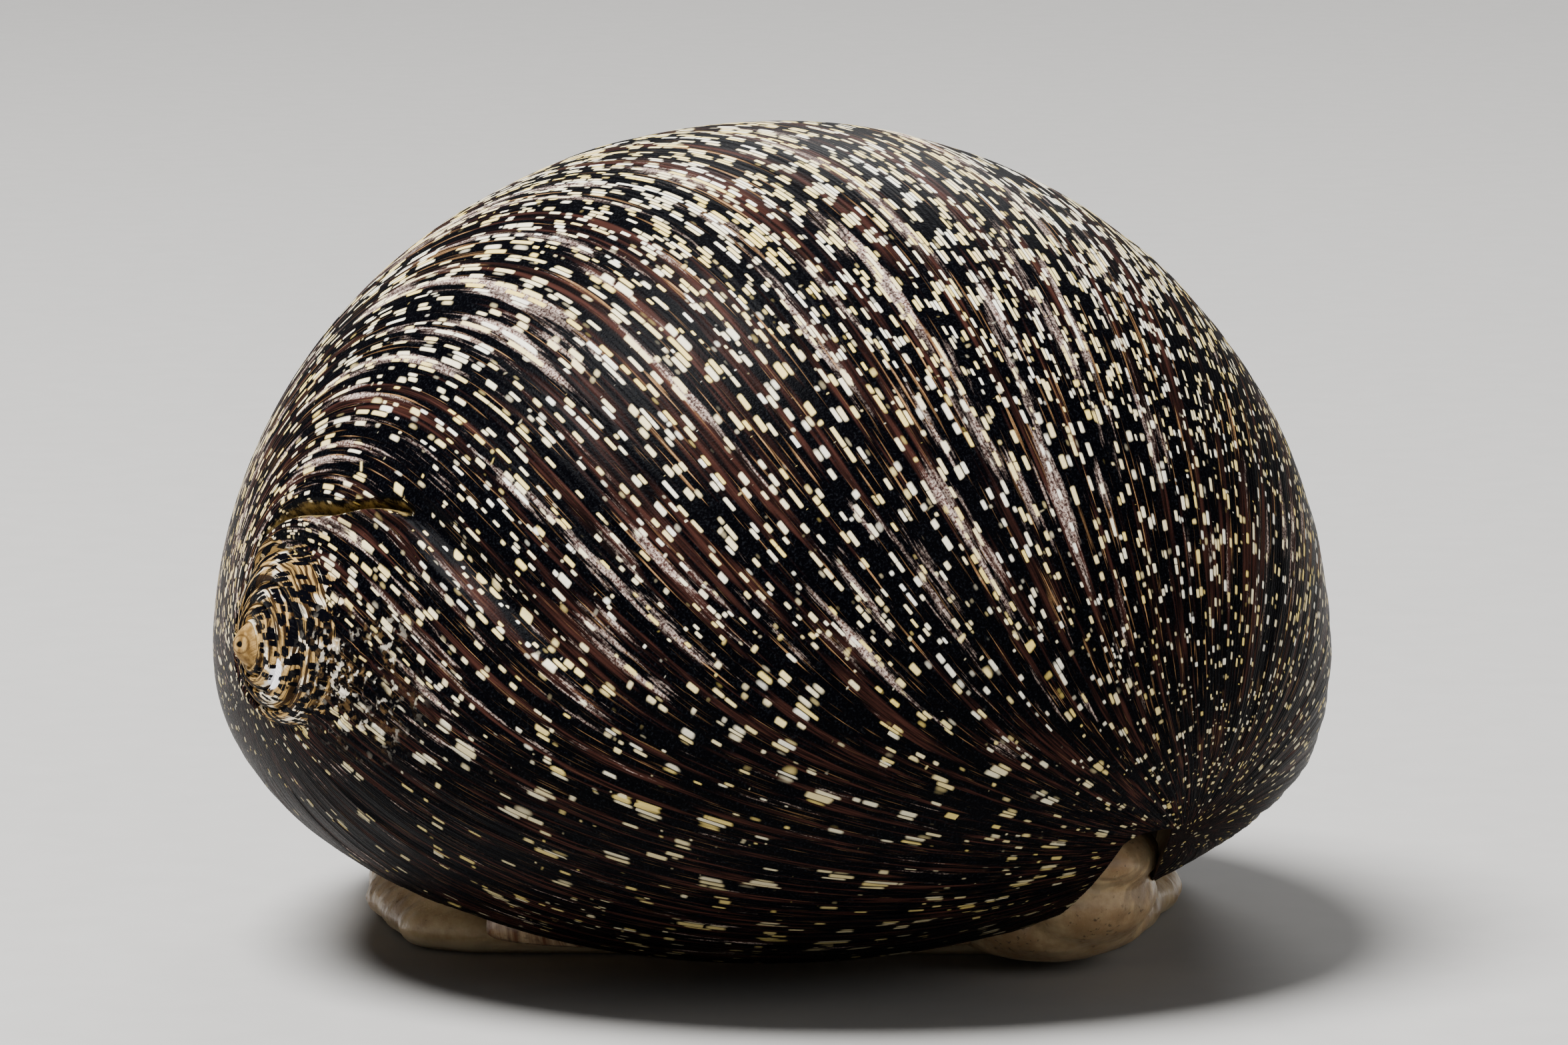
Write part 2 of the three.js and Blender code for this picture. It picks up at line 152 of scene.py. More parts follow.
ROUGHNESS = ((0.03, 90, 3), (0.018, 200, 4))                    # rise, frequency and seed
RIPPLE_SPAN = (-1.5, -0.7, 1.6, 3.2)
RIPPLES = ((0.022, 9, 5), (0.014, 23, 6), (0.009, 60, 7))       # rise, frequency and seed
RIPPLE_STRETCH = 0.7
TABLE_SIZE = 64

# Aperture, arch, notch and deck
APERTURE_REAR = -3.4
APERTURE_REAR_HALF_WIDTH = 6.4
APERTURE_WIDENING = 1.7
APERTURE_WIDENING_LENGTH = 7.0
APERTURE_CORNER = 2.0
APERTURE_STEPS = (12, 41)
LEAST_HALF_WIDTH = 0.3
OPENING_LEVELS = (-1.0, 4.0)
ARCH_HALF_WIDTH = 4.9
ARCH_RISE = 2.35
ARCH_START = 7.5
ARCH_LENGTH = 12
ARCH_STEPS = 48
SKIRT = 2                   # how far a cutter goes on below the rim
OVERLAP = 0.05
CUTTER_SIZE = 30
DECK_LOW = (-6.0, -9.88, 0.42)
DECK_HIGH = (2.5, -6.74, 2.4)
DECK_GRID = (40, 32)
DECK_EDGE = 0.23
DECK_HOLLOW = 0.5
DECK_ROUNDNESS = 0.45
DECK_END_POWER = 8
DECK_END_LEAST = 0.2
DECK_IN_WALL = 0.12
TEETH = [(-1.6 + 0.95 * place, -7.36, 0.85) for place in range(-2, 3)]
TOOTH_HALF = (0.27, 0.42, 0.3)
TOOTH_GRID = (24, 16)
# The notch has two curves, each with a start, a bend, an end and a number of points
NOTCH_EDGE = ((3.0, 0.2), (4.6, 0.65), (5.77, 2.6), 10)
NOTCH_CROWN = ((5.77, 2.6), (6.07, 2.85), (6.62, 2.85), 8)
NOTCH_BELOW = ((6.0, 0.2), (6.0, -1.8), (3.0, -1.8))
NOTCH_SLOPE = math.radians(8)
NOTCH_REAR = -9.0
NOTCH_LEVEL_Y = -3.9        # where the sloping notch has the height given
NOTCH_LENGTH = 8.5

# Flesh: the foot's levels are heights and insets; lumps are balls, with centre and half sizes
FOOT_REAR = -1.85
FOOT_FRONT = 9.2
FOOT_MIDDLE_Y = 0.2
FOOT_LEVELS = ((0.0, 0.95), (0.12, 0.7), (0.35, 0.6), (0.6, 0.72), (0.95, 1.2), (1.4, 1.8),
               (2.1, 2.2), (3.4, 2.4))
FOOT_RIPPLES = ((0.012, 9, 1), (0.008, 17, 2), (0.005, 31, 0))      # share, waves and start
FOOT_DRAWN_IN = 0.02
MANTLE_FLOOR = 2.4
MANTLE_GAP = 0.35
LUMPS = (
    ("neck", (0, 5.2, 1.6), (3.3, 3.2, 1.25)),
    ("crown", (0, 7.9, 1.3), (2.3, 2.6, 0.95)),
    ("snout", (0, 10.2, 1.0), (1.35, 1.5, 0.72)),
    ("fold_top", (5.55, -7.0, 2.3), (0.95, 1.0, 0.66)),
    ("fold_side", (5.2, -6.4, 1.5), (1.3, 1.3, 0.95)),
    ("fold_root", (4.6, -5.2, 0.95), (1.9, 2.0, 0.85)),
)
PAIRED_LUMPS = (
    ("cheek", (1.15, 8.9, 1.2), (1.15, 1.6, 0.85)),
    ("lobe", (0.68, 11.15, 0.86), (0.85, 1.12, 0.58)),
)
FEELER_LINE = ((1.3, 9.6, 1.45), (2.8, 12.2, 2.1), (4.25, 14.5, 1.77))
FEELER_STEPS = 60
FEELER_RADII = (0.44, 0.30)
FEELER_RINGS = 110
FEELER_RING_DEPTH = 0.012
FEELER_TIP = (0.1, 0.3, 0.6, 0.85)
STALK_LINE = ((1.3, 8.0, 1.45), (2.96, 9.49, 2.01))
STALK_STEPS = 16
STALK_RADII = (0.62, 0.35)
FOLD_RATES = (1.2, 3.2, 2.0)
FOLD_FINER = 2.3
FOLD_DEPTH = 0.03
FOLD_START = 0.25

# Operculum: the levels are the plate's size and its place from back to front
PLATE_STEPS = 120
PLATE_POWERS = (0.8, 0.6, 0.9)
PLATE_FLATNESS = 0.25
PLATE_FOOT = 0.2
PLATE_LEVELS = ((0.3, -0.95), (0.7, -0.8), (0.95, -0.45), (1.0, 0.0), (0.95, 0.35), (0.7, 0.6), (0.3, 0.75))
PLATE_NUCLEUS = (2.4, 0.2, 0.5)
PLATE_RING_RATE = 5200.0
PLATE_WAVE = 0.4

# Flecks: size in mm, and radius as a share of a cluster's cell
LEVEL = 1.6                 # each level of detail has this many times the flecks of the one before
LEVEL_SHIFT = 17.3
LEVEL_BLEND = 0.5
FLECK_SIZE = 0.108
FLECK_SHRINKING = {"spire": 0.42, "right": 0.2, "pole": 0.25, "top": 0.12, "low": 0.18}
FLECK_RANDOMNESS = 0.85
FLECK_LEAST = 0.72
FLECK_VARIETY = 0.56
FLECK_EDGE = 0.035
ROUND_OFF = 0.022
LARGE_ELSEWHERE = 0.16
SMALL_AMONG_LARGE = 0.12
SINGLE_SMALLER = 0.02
WOBBLE = 2.0
TONE_SEED = 11.3
# Each layer of clusters: rows, columns, shift, share that is there, seed
LAYERS = {
    "large": (7.0, 8.6, 1.8, 0.95, 0.0),
    "small": (3.1, 6.6, 1.8, 0.9, 37.0),
    "single": (2.0, 6.4, 1.6, 0.42, 71.0),
    "blotches": (8.0, 3.0, 0.3, 0.8, 3.0),
    "spots": (6.0, 4.6, 0.3, 0.65, 19.0),
}

# First whorls: places in mm from the centre of the rings, and turns in radians
HOOP = 0.03
BLOTCH_STEP = 0.07
BLOTCH_OFFSET = 0.1
BLOTCH_SIZE = 0.38
BLOTCH_GROWTH = 0.04
BLOTCH_ON_WHITE = -0.3
SPOT_SMALLER = 0.06
RING_WAVE = 0.12
WHITE_RING = 0.9
WHITE_WIDTH = 0.24
WHITE_TURN = 0.55
WHITE_LENGTH = 0.95
WHITE_RAGGED = 0.3
ARCS_OVER = 0.6
CAP_RING = 0.16
CAP_RING_WIDTH = 0.03
CAP_RING_STRENGTH = 0.75
EDGE_RAGGED = 1.3
MESS_REACH = 1.7
MESS_STRENGTH = 0.85
# raggedness of the crevice's dirt and painted shade
CREVICE_DIRT_AND_SHADE_RAGGED = 0.9

# Zones of the shell: limits in mm along an axis, from none of the zone to all of it
ZONES = {
    "top": (("z", 8.3, 14.0),),
    "left": (("x", -5.0, -8.5), ("z", 4.6, 6.8), ("z", 11.0, 8.0)),
    "right": (("x", 3.0, 9.0),),
    "low": (("z", 7.0, 3.5),),
    "low_left": (("z", 6.0, 4.0), ("x", -3.0, -7.0)),
    "bottom": (("z", 4.6, 2.0),),
    "large": (("z", 9.5, 4.0),),
    "back": (("z", 0.7, 1.7),),
    "head": (("y", 4.5, 7.5),),
    "sole": (("z", 0.35, 0.1),),
}
SPIRE_REACH = (4.6, 2.2)
POLE_REACH = (6.0, 1.0)

# Numbers that differ from zone to zone: what each is elsewhere, and what each zone adds
BY_ZONE = {
    "radius": (0.185, {"top": 0.09, "left": 0.02, "low": -0.01, "patch": 0.2, "lilac": 0.05}),
    "crowd": (1.0, {"sparse": -0.5, "low_left": -0.3}),
    "lilac": (0.0, {"bright": 0.02, "low": -0.06, "pole": -0.1, "right": -0.02}),
    "threads": (0.3, {"top": 0.2, "right": 0.3}),
    "thread_strength": (0.75, {"low": -0.5}),
    "stripes": (0.35, {"head": 0.6}),
}

# Noises: scale in 1/m, detail and roughness
NOISES = {
    "grain": (24000.0, 2.0, 0.6),
    "level": (500.0, 1.0),
    "ring_wave": (1500.0, 1.0),
    "cap": (5000.0, 3.0),
    "spire_edge": (2500.0, 3.0),
    "worn": (5200.0, 4.0, 0.65),
    "chips": (6500.0, 2.0),
    "worn_places": (1800.0, 2.0),
    "skin": (900.0, 5.0, 0.65),
    "skin_grain": (9000.0, 3.0, 0.6),
    "plate_wave": (500.0, 2.0),
    "plate_grain": (9000.0, 3.0),
    "paper": (900.0, 3.0),
}

# Streaks: rates in two directions, seed, detail and roughness
STREAKS = {
    "bands": (32.0, 1.6, 3.0, 3.0, 0.55),
    "pale": (25.0, 1.9, 21.0, 6.0, 0.66),
    "patches": (6.0, 2.2, 9.0, 2.0, 0.55),
    "fine": (110.0, 3.5, 33.0, 4.0, 0.6),
    "threads": (150.0, 4.5, 51.0, 2.0, 0.55),
    "wobble": (2.0, 30.0, 5.0, 1.0, 0.5),
    "arcs": (17.0, 0.8, 7.0, 3.0, 0.6),
    "clouds": (0.12, 4.0, 17.0, 2.0, 0.5),
}
BAND_BORDER = 0.52
BAND_BORDER_WIDTH = 0.05
STRIPE_RATES = (500.0, 4200.0, 900.0)

# Ramps: the values at which something starts and is whole, and its two ends if not 0 and 1
RAMPS = {
    "level": (0.3, 0.7),
    "gap_before": (0.0, 0.25),
    "gap_after": (1.0, 0.75),
    "rib_before": (0.0, 0.5),
    "rib_after": (1.0, 0.5),
    "not_right": (1.0, 0.4),
    "not_left": (0.9, 0.3),
    "bands": (0.51, 0.62),
    "threads": (0.61, 0.7),
    "lilac": (0.56, 0.65),
    "lilac_grain": (0.36, 0.56, 0.25, 0.95),
    "clouds": (0.53, 0.62),
    "cloud_arcs": (0.44, 0.52),
    "white": (0.62, 0.7),
    "blotch_rings": (0.5, 1.5),
    "blotch_start": (0.4, 0.5),
    "arcs_over": (0.62, 0.68),
    "cap": (0.42, 0.38),
    "dot": (0.07, 0.045),
    "spire": (0.02, -0.02),
    "chips": (0.56, 0.63),
    "worn_places": (0.42, 0.55),
    "crevice_dirt_and_shade": (0.35, 0.7),
    "shell_gloss": (0.3, 0.7, 0.3, 0.42),
    "stripes": (0.46, 0.58),
    "specks": (0.6, 0.68),
    "speck_places": (0.45, 0.6),
    "skin_gloss": (0.3, 0.7, 0.28, 0.42),
    "plate_specks": (0.5, 0.75),
    "plate_gloss": (0.3, 0.7, 0.25, 0.4),
}

# Blends: from one value to another of a noise, the first colour gives way to the second.
# Colours are red, green and blue as they look on a screen, from 0 to 255.
BLENDS = {
    "black": (0.5, 0.8, (2, 2, 4), (22, 24, 28)),
    "brown": (0.38, 0.66, (12, 7, 7), (62, 36, 30)),
    "dust": (0.35, 0.65, (78, 54, 50), (222, 198, 184)),
    "sand": (0.43, 0.58, (50, 34, 18), (188, 152, 92)),
    "cap": (0.35, 0.65, (116, 88, 48), (176, 142, 88)),
    "grime": (0.5, 0.64, (6, 5, 6), (118, 92, 58)),
    # dark olive in the crevice: dirt with painted shade
    "crevice_dirt_and_shade": (0.35, 0.65, (38, 31, 18), (130, 110, 66)),
    "skin": (0.35, 0.65, (196, 172, 132), (150, 122, 88)),
    "horn": (0.35, 0.65, (206, 178, 140), (122, 82, 58)),
}
GOLDS = ((112, 70, 42), (184, 146, 100))
CREAMS = ((255, 252, 238), (252, 222, 122))
# Fleck colour by zone: the yellower left is the flecks' own tint; the dimmer low and bottom flecks are
# painted shade
FLECK_TINTS_AND_PAINTED_SHADE = (("low", 0.6, (170, 154, 94)), ("bottom", 0.5, (84, 74, 46)),
                 ("left", 0.45, (226, 192, 116)))
SAND_PALE = (250, 236, 208)
WHORL_WHITE = (252, 250, 255)
WHORL_BLACK = (5, 5, 9)
CAP_SEAM = (70, 48, 24)
DOT_BLACK = (12, 9, 7)
CHIP_WHITE = (244, 234, 214)
STRIPE_INK = (40, 34, 32)
SPECK_INK = (46, 38, 34)
SPECK_STRENGTH = 0.7
SOLE_PALE = (206, 190, 158)
SOLE_STRENGTH = 0.8
HORN_DARK = (70, 50, 44)
HORN_DARK_STRENGTH = 0.5
PAPERS = ((168, 166, 163), (176, 174, 171))
PAPER_ROUGHNESS = 0.8

# Plain materials: two colours, scale of the mottling, roughness, and depth of the grain in mm
PLAIN = {
    "deck_callus": ((226, 216, 182), (200, 182, 140), 900.0, 0.3, 0.02),
    "eye_black": ((12, 11, 11), (22, 19, 18), 3000.0, 0.12, 0.002),
    "shell_inside": ((196, 190, 176), (120, 116, 112), 300.0, 0.25, 0.02),
    # dark brown of the cut faces: partly the lip's own dark edge, partly painted shade
    "shell_lip_and_shade": ((30, 22, 18), (84, 60, 44), 1500.0, 0.4, 0.02),
}
MOTTLE_DETAIL = (5.0, 0.6)
MOTTLING = (0.35, 0.65)
FINE_DETAIL = (3.0, 0.6)
FINER = 6
GRAIN_STRENGTH = 0.6
GLOSS_SPAN = (0.3, 0.7)
GLOSS_RANGE = 0.06

# Bumps: depth in mm, and strength
BUMPS = {
    "rib": (0.006, 0.5),
    "grain": (0.012, 0.6),
    "skin": (0.02, 0.7),
    "plate_rings": (0.03, 0.8),
    "plate_grain": (0.01, 0.5),
}

# Stage and lights: each light has a place, a size and a power
STAGE_AROUND = 96
STAGE_FLAT = (40, 420, 8)
STAGE_BEND = 260
STAGE_BEND_STEPS = 16
STAGE_TOP = 620
LIGHTS = (
    ("key", (-100, -70, 310), 170, 3.7),
    ("fill", (200, -200, 150), 180, 0.12),
    ("rim", (40, 260, 200), 160, 0.35),
)
LIGHT_TARGET = (0, -SOLE_MIDDLE_Y, 5)
SKY = (0.9, 0.93, 1.0, 1.0)
SKY_STRENGTH = 0.2

# Camera: where it looks, from how far, and how high above the floor it stands
VIEW_HEIGHT = 7.6
VIEW_DISTANCE = 150.0
VIEW_ELEVATION = math.radians(8)
VIEW_CLIP = (0.01, 5.0)
FRAME_WIDTH = 27.67         # what the picture spans at that distance
SENSOR = 36.0


def smooth_step(value):
    t = np.clip(value, 0.0, 1.0)
    return t * t * (3 - 2 * t)


def window(value, start, whole, fade, end):
    """Rises from 0 to 1 between the first two values, and falls to 0 between the last two."""
    return smooth_step((value - start) / (whole - start)) * smooth_step((end - value) / (end - fade))


def bell(value):
    return np.exp(-value * value)


def soft_sign(value):
    return value / np.hypot(value, EQUATOR_BLEND)


def signed_power(value, power):
    return np.sign(value) * np.abs(value) ** power


def in_metres(point):
    return [float(value) * MM for value in point]


def egg_point(direction, inset=0.0):
    """Points of the egg in the given directions, lowered under its surface by the inset."""
    x, y, z = direction[..., 0], direction[..., 1], direction[..., 2]
    front, rear, rise = FRONT_LENGTH - inset, REAR_LENGTH - inset, RISE - inset
    deepening = FRONT_DEEPENING * smooth_step((y - DEEPENING_START) / DEEPENING_LENGTH)
    fall = FALL + deepening - inset
    length = (front + rear) / 2 + (front - rear) / 2 * soft_sign(y)
    height = (rise + fall) / 2 + (rise - fall) / 2 * soft_sign(z)
    swell = (SWELL * np.maximum(x, 0.0) ** 2 * bell((y - SWELL_PLACE[0]) / SWELL_SIZE[0])
             * bell((z - SWELL_PLACE[1]) / SWELL_SIZE[1]))
    return np.stack([
        CENTRE_X + (HALF_WIDTH - inset) * x + CROWN_LEAN * z * np.abs(z) + swell,
        length * y - SOLE_MIDDLE_Y,
        CENTRE_Z + height * z - FRONT_DROOP * np.maximum(y, 0.0) ** 2,
    ], axis=-1)


# The map: a stereographic view from the convergence point, moved so that the apex is at 0
MAP_UP = np.array([0.0, 0.0, 1.0]) - CONVERGENCE * CONVERGENCE[2]
MAP_UP = MAP_UP / np.linalg.norm(MAP_UP)
MAP_SIDE = np.cross(CONVERGENCE, MAP_UP)
APEX_ON_MAP = (APEX @ MAP_UP + 1j * (APEX @ MAP_SIDE)) / (1.0 - APEX @ CONVERGENCE)


def direction_of(place):
    point = place + APEX_ON_MAP
    square = np.abs(point) ** 2
    summed = (2 * point.real[..., None] * MAP_UP + 2 * point.imag[..., None] * MAP_SIDE
              + (square - 1)[..., None] * CONVERGENCE)
    return summed / (square + 1)[..., None]


def swing(along, angle):
    middle = SWING_MIDDLE + SWING_SKEW * np.cos(angle + SWING_SKEW_ANGLE)
    return SWING / (1 + np.exp(-(along - middle) / SWING_LENGTH))


def line_of(straight):
    """The field at a place of the straightened map. Growth lines are lines of equal imaginary
    part; the real part grows along them. It has two signs, of which either may be taken."""
    middle = (LINES_TURN_NEAR + LINES_TURN_FAR) / 2
    half = (LINES_TURN_NEAR - LINES_TURN_FAR) / 2
    return np.arccosh((straight - middle) / half + 0j)


def with_sign(line):
    return np.where(line.imag < 0, -line, line)


def ring_field(place):
    """Rings round the first whorl: the radius of each, in map units, and the angle on it."""
    shift = DISC_CENTRE - FIRST_WHORL
    squeeze = abs(shift) / DISC_RADIUS
    offset = place - FIRST_WHORL
    lean = (offset * np.conj(shift)).real / DISC_RADIUS
    radius = ((np.sqrt(lean ** 2 + (1 - squeeze ** 2) * np.abs(offset) ** 2) - lean)
              / (1 - squeeze ** 2))
    centre = FIRST_WHORL + shift * radius / DISC_RADIUS
    return radius, np.angle((place - centre) * np.exp(-1j * RING_START))


def lattice_noise(x, y, seed):
    """Smooth random values from -1 to 1, one to each unit square."""
    table = np.random.default_rng(seed).uniform(-1, 1, (TABLE_SIZE, TABLE_SIZE))
    x0, y0 = np.floor(x).astype(int), np.floor(y).astype(int)
    u, v = smooth_step(x - x0), smooth_step(y - y0)
    columns = (x0 % TABLE_SIZE, (x0 + 1) % TABLE_SIZE)
    rows = (y0 % TABLE_SIZE, (y0 + 1) % TABLE_SIZE)
    (a, c), (b, d) = [[table[column, row] for row in rows] for column in columns]
    return (a * (1 - u) + b * u) * (1 - v) + (c * (1 - u) + d * u) * v


def turns_of(count):
    return np.linspace(0, 2 * np.pi, count, endpoint=False)


def round_rows(radii, heights, count):
    """Rings of points about the Z axis."""
    turn = turns_of(count)
    return np.stack([radii[:, None] * np.cos(turn), radii[:, None] * np.sin(turn),
                     heights[:, None] * np.ones_like(turn)], axis=-1)


def egg_rows(along, sectors, inset=0.0):
    return egg_point(direction_of(np.exp(along[:, None] + 1j * turns_of(sectors))), inset)


def mesh_object(name, points, faces, smooth=True):
    mesh = bpy.data.meshes.new(name)
    mesh.from_pydata([tuple(p) for p in np.asarray(points) * MM], [], faces)
    mesh.update()
    if smooth:
        mesh.shade_smooth()
    made = bpy.data.objects.new(name, mesh)
    bpy.context.collection.objects.link(made)
    return made


def closed_rows(first, rows, last):
    """Points and faces of a closed surface through rows of points, with a point at each end."""
    rows = np.asarray(rows)
    count, across = rows.shape[:2]
    points = np.concatenate([[first], rows.reshape(-1, 3), [last]])
    column = np.arange(across)
    after = (column + 1) % across
    start = 1 + np.arange(count - 1)[:, None] * across
    quads = np.stack([start + column, start + across + column,
                      start + across + after, start + after], axis=-1).reshape(-1, 4)
    base = 1 + (count - 1) * across
    caps = [(0, 1 + a, 1 + b) for a, b in zip(column, after)]
    caps += [(len(points) - 1, base + b, base + a) for a, b in zip(column, after)]
    return points, [tuple(q) for q in quads.tolist()] + [tuple(map(int, c)) for c in caps]


def face_outward(made):
    shape = bmesh.new()
    shape.from_mesh(made.data)
    if shape.calc_volume(signed=True) < 0:
        bmesh.ops.reverse_faces(shape, faces=shape.faces)
    shape.to_mesh(made.data)
    shape.free()
    return made


def solid(name, first, rows, last, smooth=True):
    points, faces = closed_rows(first, rows, last)
    return face_outward(mesh_object(name, points, faces, smooth))


def ring_places(count, probes, crowding=0.0):
    """Logarithms of the rings' radii on the map, spread so that the widest step between two rings
    is the same all over the shell, or smaller near the spire."""
    along = np.linspace(*MAP_SPAN, MAP_SAMPLES)
    steps = np.linalg.norm(np.diff(egg_rows(along, probes), axis=0), axis=-1).max(axis=1)
    crowded = smooth_step((CROWDING_START - along[1:]) / CROWDING_LENGTH)
    steps = steps * (1 + crowding * crowded) + LEAST_STEP
    travelled = np.concatenate([[0.0], np.cumsum(steps)])
    return np.interp(np.linspace(0, travelled[-1], count), travelled, along)


def spire_distance(place):
    """How far a place on the map is outside the spire's outline, in mm, and its angle round it."""
    offset = place - SPIRE_CENTRE
    angle = np.angle(offset)
    turn = np.angle(np.exp(1j * (angle - SPIRE_BEAK_ANGLE))) / SPIRE_BEAK_SPREAD
    outline = SPIRE_RADIUS + SPIRE_BEAK * bell(turn)
    return (np.abs(offset) - outline) * MAP_SCALE, np.degrees(angle)


def spire_relief(place):
    """The spire's swelling, the crevice above it with its overhang, and a soft seam elsewhere."""
    outside, turn = spire_distance(place)
    crevice = window(turn, *CREVICE_SPAN)
    seam = (1 - crevice) * smooth_step(np.abs(turn - SEAM_GAP) / SEAM_GAP)
    return (SPIRE_RISE * bell(np.abs(place - SPIRE_CENTRE) / SPIRE_RADIUS)
            + OVERHANG * crevice * window(outside, *OVERHANG_SPAN)
            - (CREVICE_DEPTH * crevice + SEAM_DEPTH * seam) * bell(outside / CREVICE_WIDTH))


def coil_relief(place):
    """The first whorls: a groove that coils in to a raised cap with a pit in it."""
    radius, angle = ring_field(place)
    turns = np.log(radius / DISC_RADIUS + TINY) / math.log(COIL_SHRINK) + angle / (2 * np.pi)
    phase = turns - np.round(turns)
    swelling = COIL_SWELL * smooth_step(np.abs(phase) / COIL_SWELL_WIDTH)
    cap = np.clip(1 - (radius / CAP_RADIUS) ** 2, 0, 1)
    return (window(radius, *COIL_SPAN) * (swelling - COIL_GROOVE * bell(phase / GROOVE_WIDTH))
            + CAP_RISE * cap ** CAP_FULLNESS - DOT_DEPTH * bell(np.abs(place - APEX_DOT) / DOT_SIZE))


def shell_relief(place, along, growth, line):
    """How far the real surface stands above the egg, in mm."""
    height = spire_relief(place) + coil_relief(place)
    for rise, middle, width in REST_MARKS:
        height = height + rise * window(along, *MARK_SPAN) * bell((np.degrees(growth) - middle) / width)
    mess = bell(np.abs(place - MESS_PLACE) / MESS_SIZE)
    for rise, frequency, seed in ROUGHNESS:
        rough = lattice_noise(place.real * frequency, place.imag * frequency, seed)
        height = height + rise * mess * rough
    for rise, frequency, seed in RIPPLES:
        ripple = lattice_noise(line.imag * frequency, line.real * RIPPLE_STRETCH, seed)
        height = height + rise * window(along, *RIPPLE_SPAN) * ripple
    return height


def line_rates(straight, points):
    """How many growth lines follow one another in a mm, and how much the field that grows along
    them changes from one line to the next."""
    inner = 1 / np.sqrt((straight - LINES_TURN_NEAR) * (straight - LINES_TURN_FAR))
    f0, f1 = [np.gradient(straight, axis=axis) * inner for axis in (0, 1)]
    e0, e1 = [np.gradient(points, axis=axis) for axis in (0, 1)]
    g00, g01, g11 = (e0 * e0).sum(-1), (e0 * e1).sum(-1), (e1 * e1).sum(-1)
    area = np.maximum(g00 * g11 - g01 ** 2, TINY)
    steepness = (g11 * f0.imag ** 2 - 2 * g01 * f0.imag * f1.imag + g00 * f1.imag ** 2) / area
    rate = np.sqrt(np.abs(steepness)) + LEAST_RATE
    lean = (g11 * f0.real * f0.imag - g01 * (f0.real * f1.imag + f1.real * f0.imag)
            + g00 * f1.real * f1.imag) / area / rate ** 2
    return rate, lean


def make_shell_surface():
    along = ring_places(SHELL_RINGS, SHELL_PROBES, crowding=1.0)
    angles = np.linspace(0, 2 * np.pi, SHELL_SECTORS + 1)
    ring_grid, angle_grid = np.meshgrid(along, angles, indexing="ij")
    growth = np.angle(np.exp(1j * (angle_grid - swing(ring_grid, angle_grid))))
    place = np.exp(ring_grid + 1j * angle_grid)
    straight = place * np.exp(-1j * swing(ring_grid, np.angle(place)))
    line = line_of(straight)

    points = egg_point(direction_of(place))
    step_a = egg_point(direction_of(place * np.exp(NUDGE)))
    step_b = egg_point(direction_of(place * np.exp(1j * NUDGE)))
    normal = np.cross(step_a - points, step_b - points)
    normal /= np.linalg.norm(normal, axis=-1, keepdims=True) + TINY
    middle = np.array([CENTRE_X, -SOLE_MIDDLE_Y, CENTRE_Z])
    normal *= np.sign((normal * (points - middle)).sum(-1))[..., None]
    points = points + normal * shell_relief(place, ring_grid, growth, with_sign(line))[..., None]
    last = egg_point(CONVERGENCE[None])[0]
    cloud, faces = closed_rows(points[0, :-1].mean(axis=0), points[:, :-1], last)
    shell = mesh_object("shell", cloud, faces)

    rate, lean = line_rates(straight, points)
    radius, ring_angle = ring_field(place)
    outside, turn = spire_distance(place)
    edge = np.maximum((np.abs(place - DISC_CENTRE) - DISC_RADIUS) * MAP_SCALE, outside)
    # where the crevice gets its dark olive: dirt with painted shade
    crevice_dirt_shade_mask = window(turn, *CREVICE_SPAN) * bell(outside / CREVICE_DIRT_AND_SHADE_WIDTH)
    write_corners(shell.data, "lines", corner_lines(straight, line), lean)
    write_corners(shell.data, "zones", np.log(rate), edge, crevice_dirt_shade_mask)
    write_corners(shell.data, "rings", radius * MAP_SCALE, np.cos(ring_angle), np.sin(ring_angle))
    return face_outward(shell)


def corner_lines(straight, line):
    """The field at the corners of each quad, all with the sign that its middle has."""
    corners = [(slice(None, -1), slice(None, -1)), (slice(1, None), slice(None, -1)),
               (slice(1, None), slice(1, None)), (slice(None, -1), slice(1, None))]
    kept = with_sign(line_of(sum(straight[corner] for corner in corners) / len(corners)))
    turn = 2j * np.pi
    chosen = []
    for corner in corners:
        value = line[corner]
        choices = np.stack([value, -value, turn - value, turn + value])
        nearest = np.abs(choices - kept).argmin(axis=0)
        chosen.append(np.take_along_axis(choices, nearest[None], 0)[0])
    return np.stack(chosen, axis=-1)


def write_corners(mesh, name, first, second, third=None):
    """Writes a vector to the corners of the faces made by closed_rows. Each grid has one column
    more than the mesh. The first may instead hold complex values at the corners of the quads."""
    parts = [first, second, third] if third is not None else [first.imag, first.real, second]
    columns = []
    for grid in parts:
        if grid.ndim == 2:
            grid = np.stack([grid[:-1, :-1], grid[1:, :-1], grid[1:, 1:], grid[:-1, 1:]], axis=-1)
        near, far = grid[0], grid[-1]
        top = np.stack([(near[:, 0] + near[:, 3]) / 2, near[:, 0], near[:, 3]], axis=-1)
        low = np.stack([(far[:, 1] + far[:, 2]) / 2, far[:, 2], far[:, 1]], axis=-1)
        columns.append(np.concatenate([grid.ravel(), top.ravel(), low.ravel()]))
    layer = mesh.attributes.new(name, "FLOAT_VECTOR", "CORNER")
    layer.data.foreach_set("vector", np.stack(columns, axis=-1).astype(np.float32).ravel())


def aperture_half_width(y):
    widened = (APERTURE_REAR_HALF_WIDTH
               + APERTURE_WIDENING * smooth_step((y - APERTURE_REAR) / APERTURE_WIDENING_LENGTH))
    inside = np.maximum(0.0, 1 - (y / (FRONT_LENGTH - WALL)) ** 2)
    return np.minimum(widened, (HALF_WIDTH - WALL) * np.sqrt(inside))


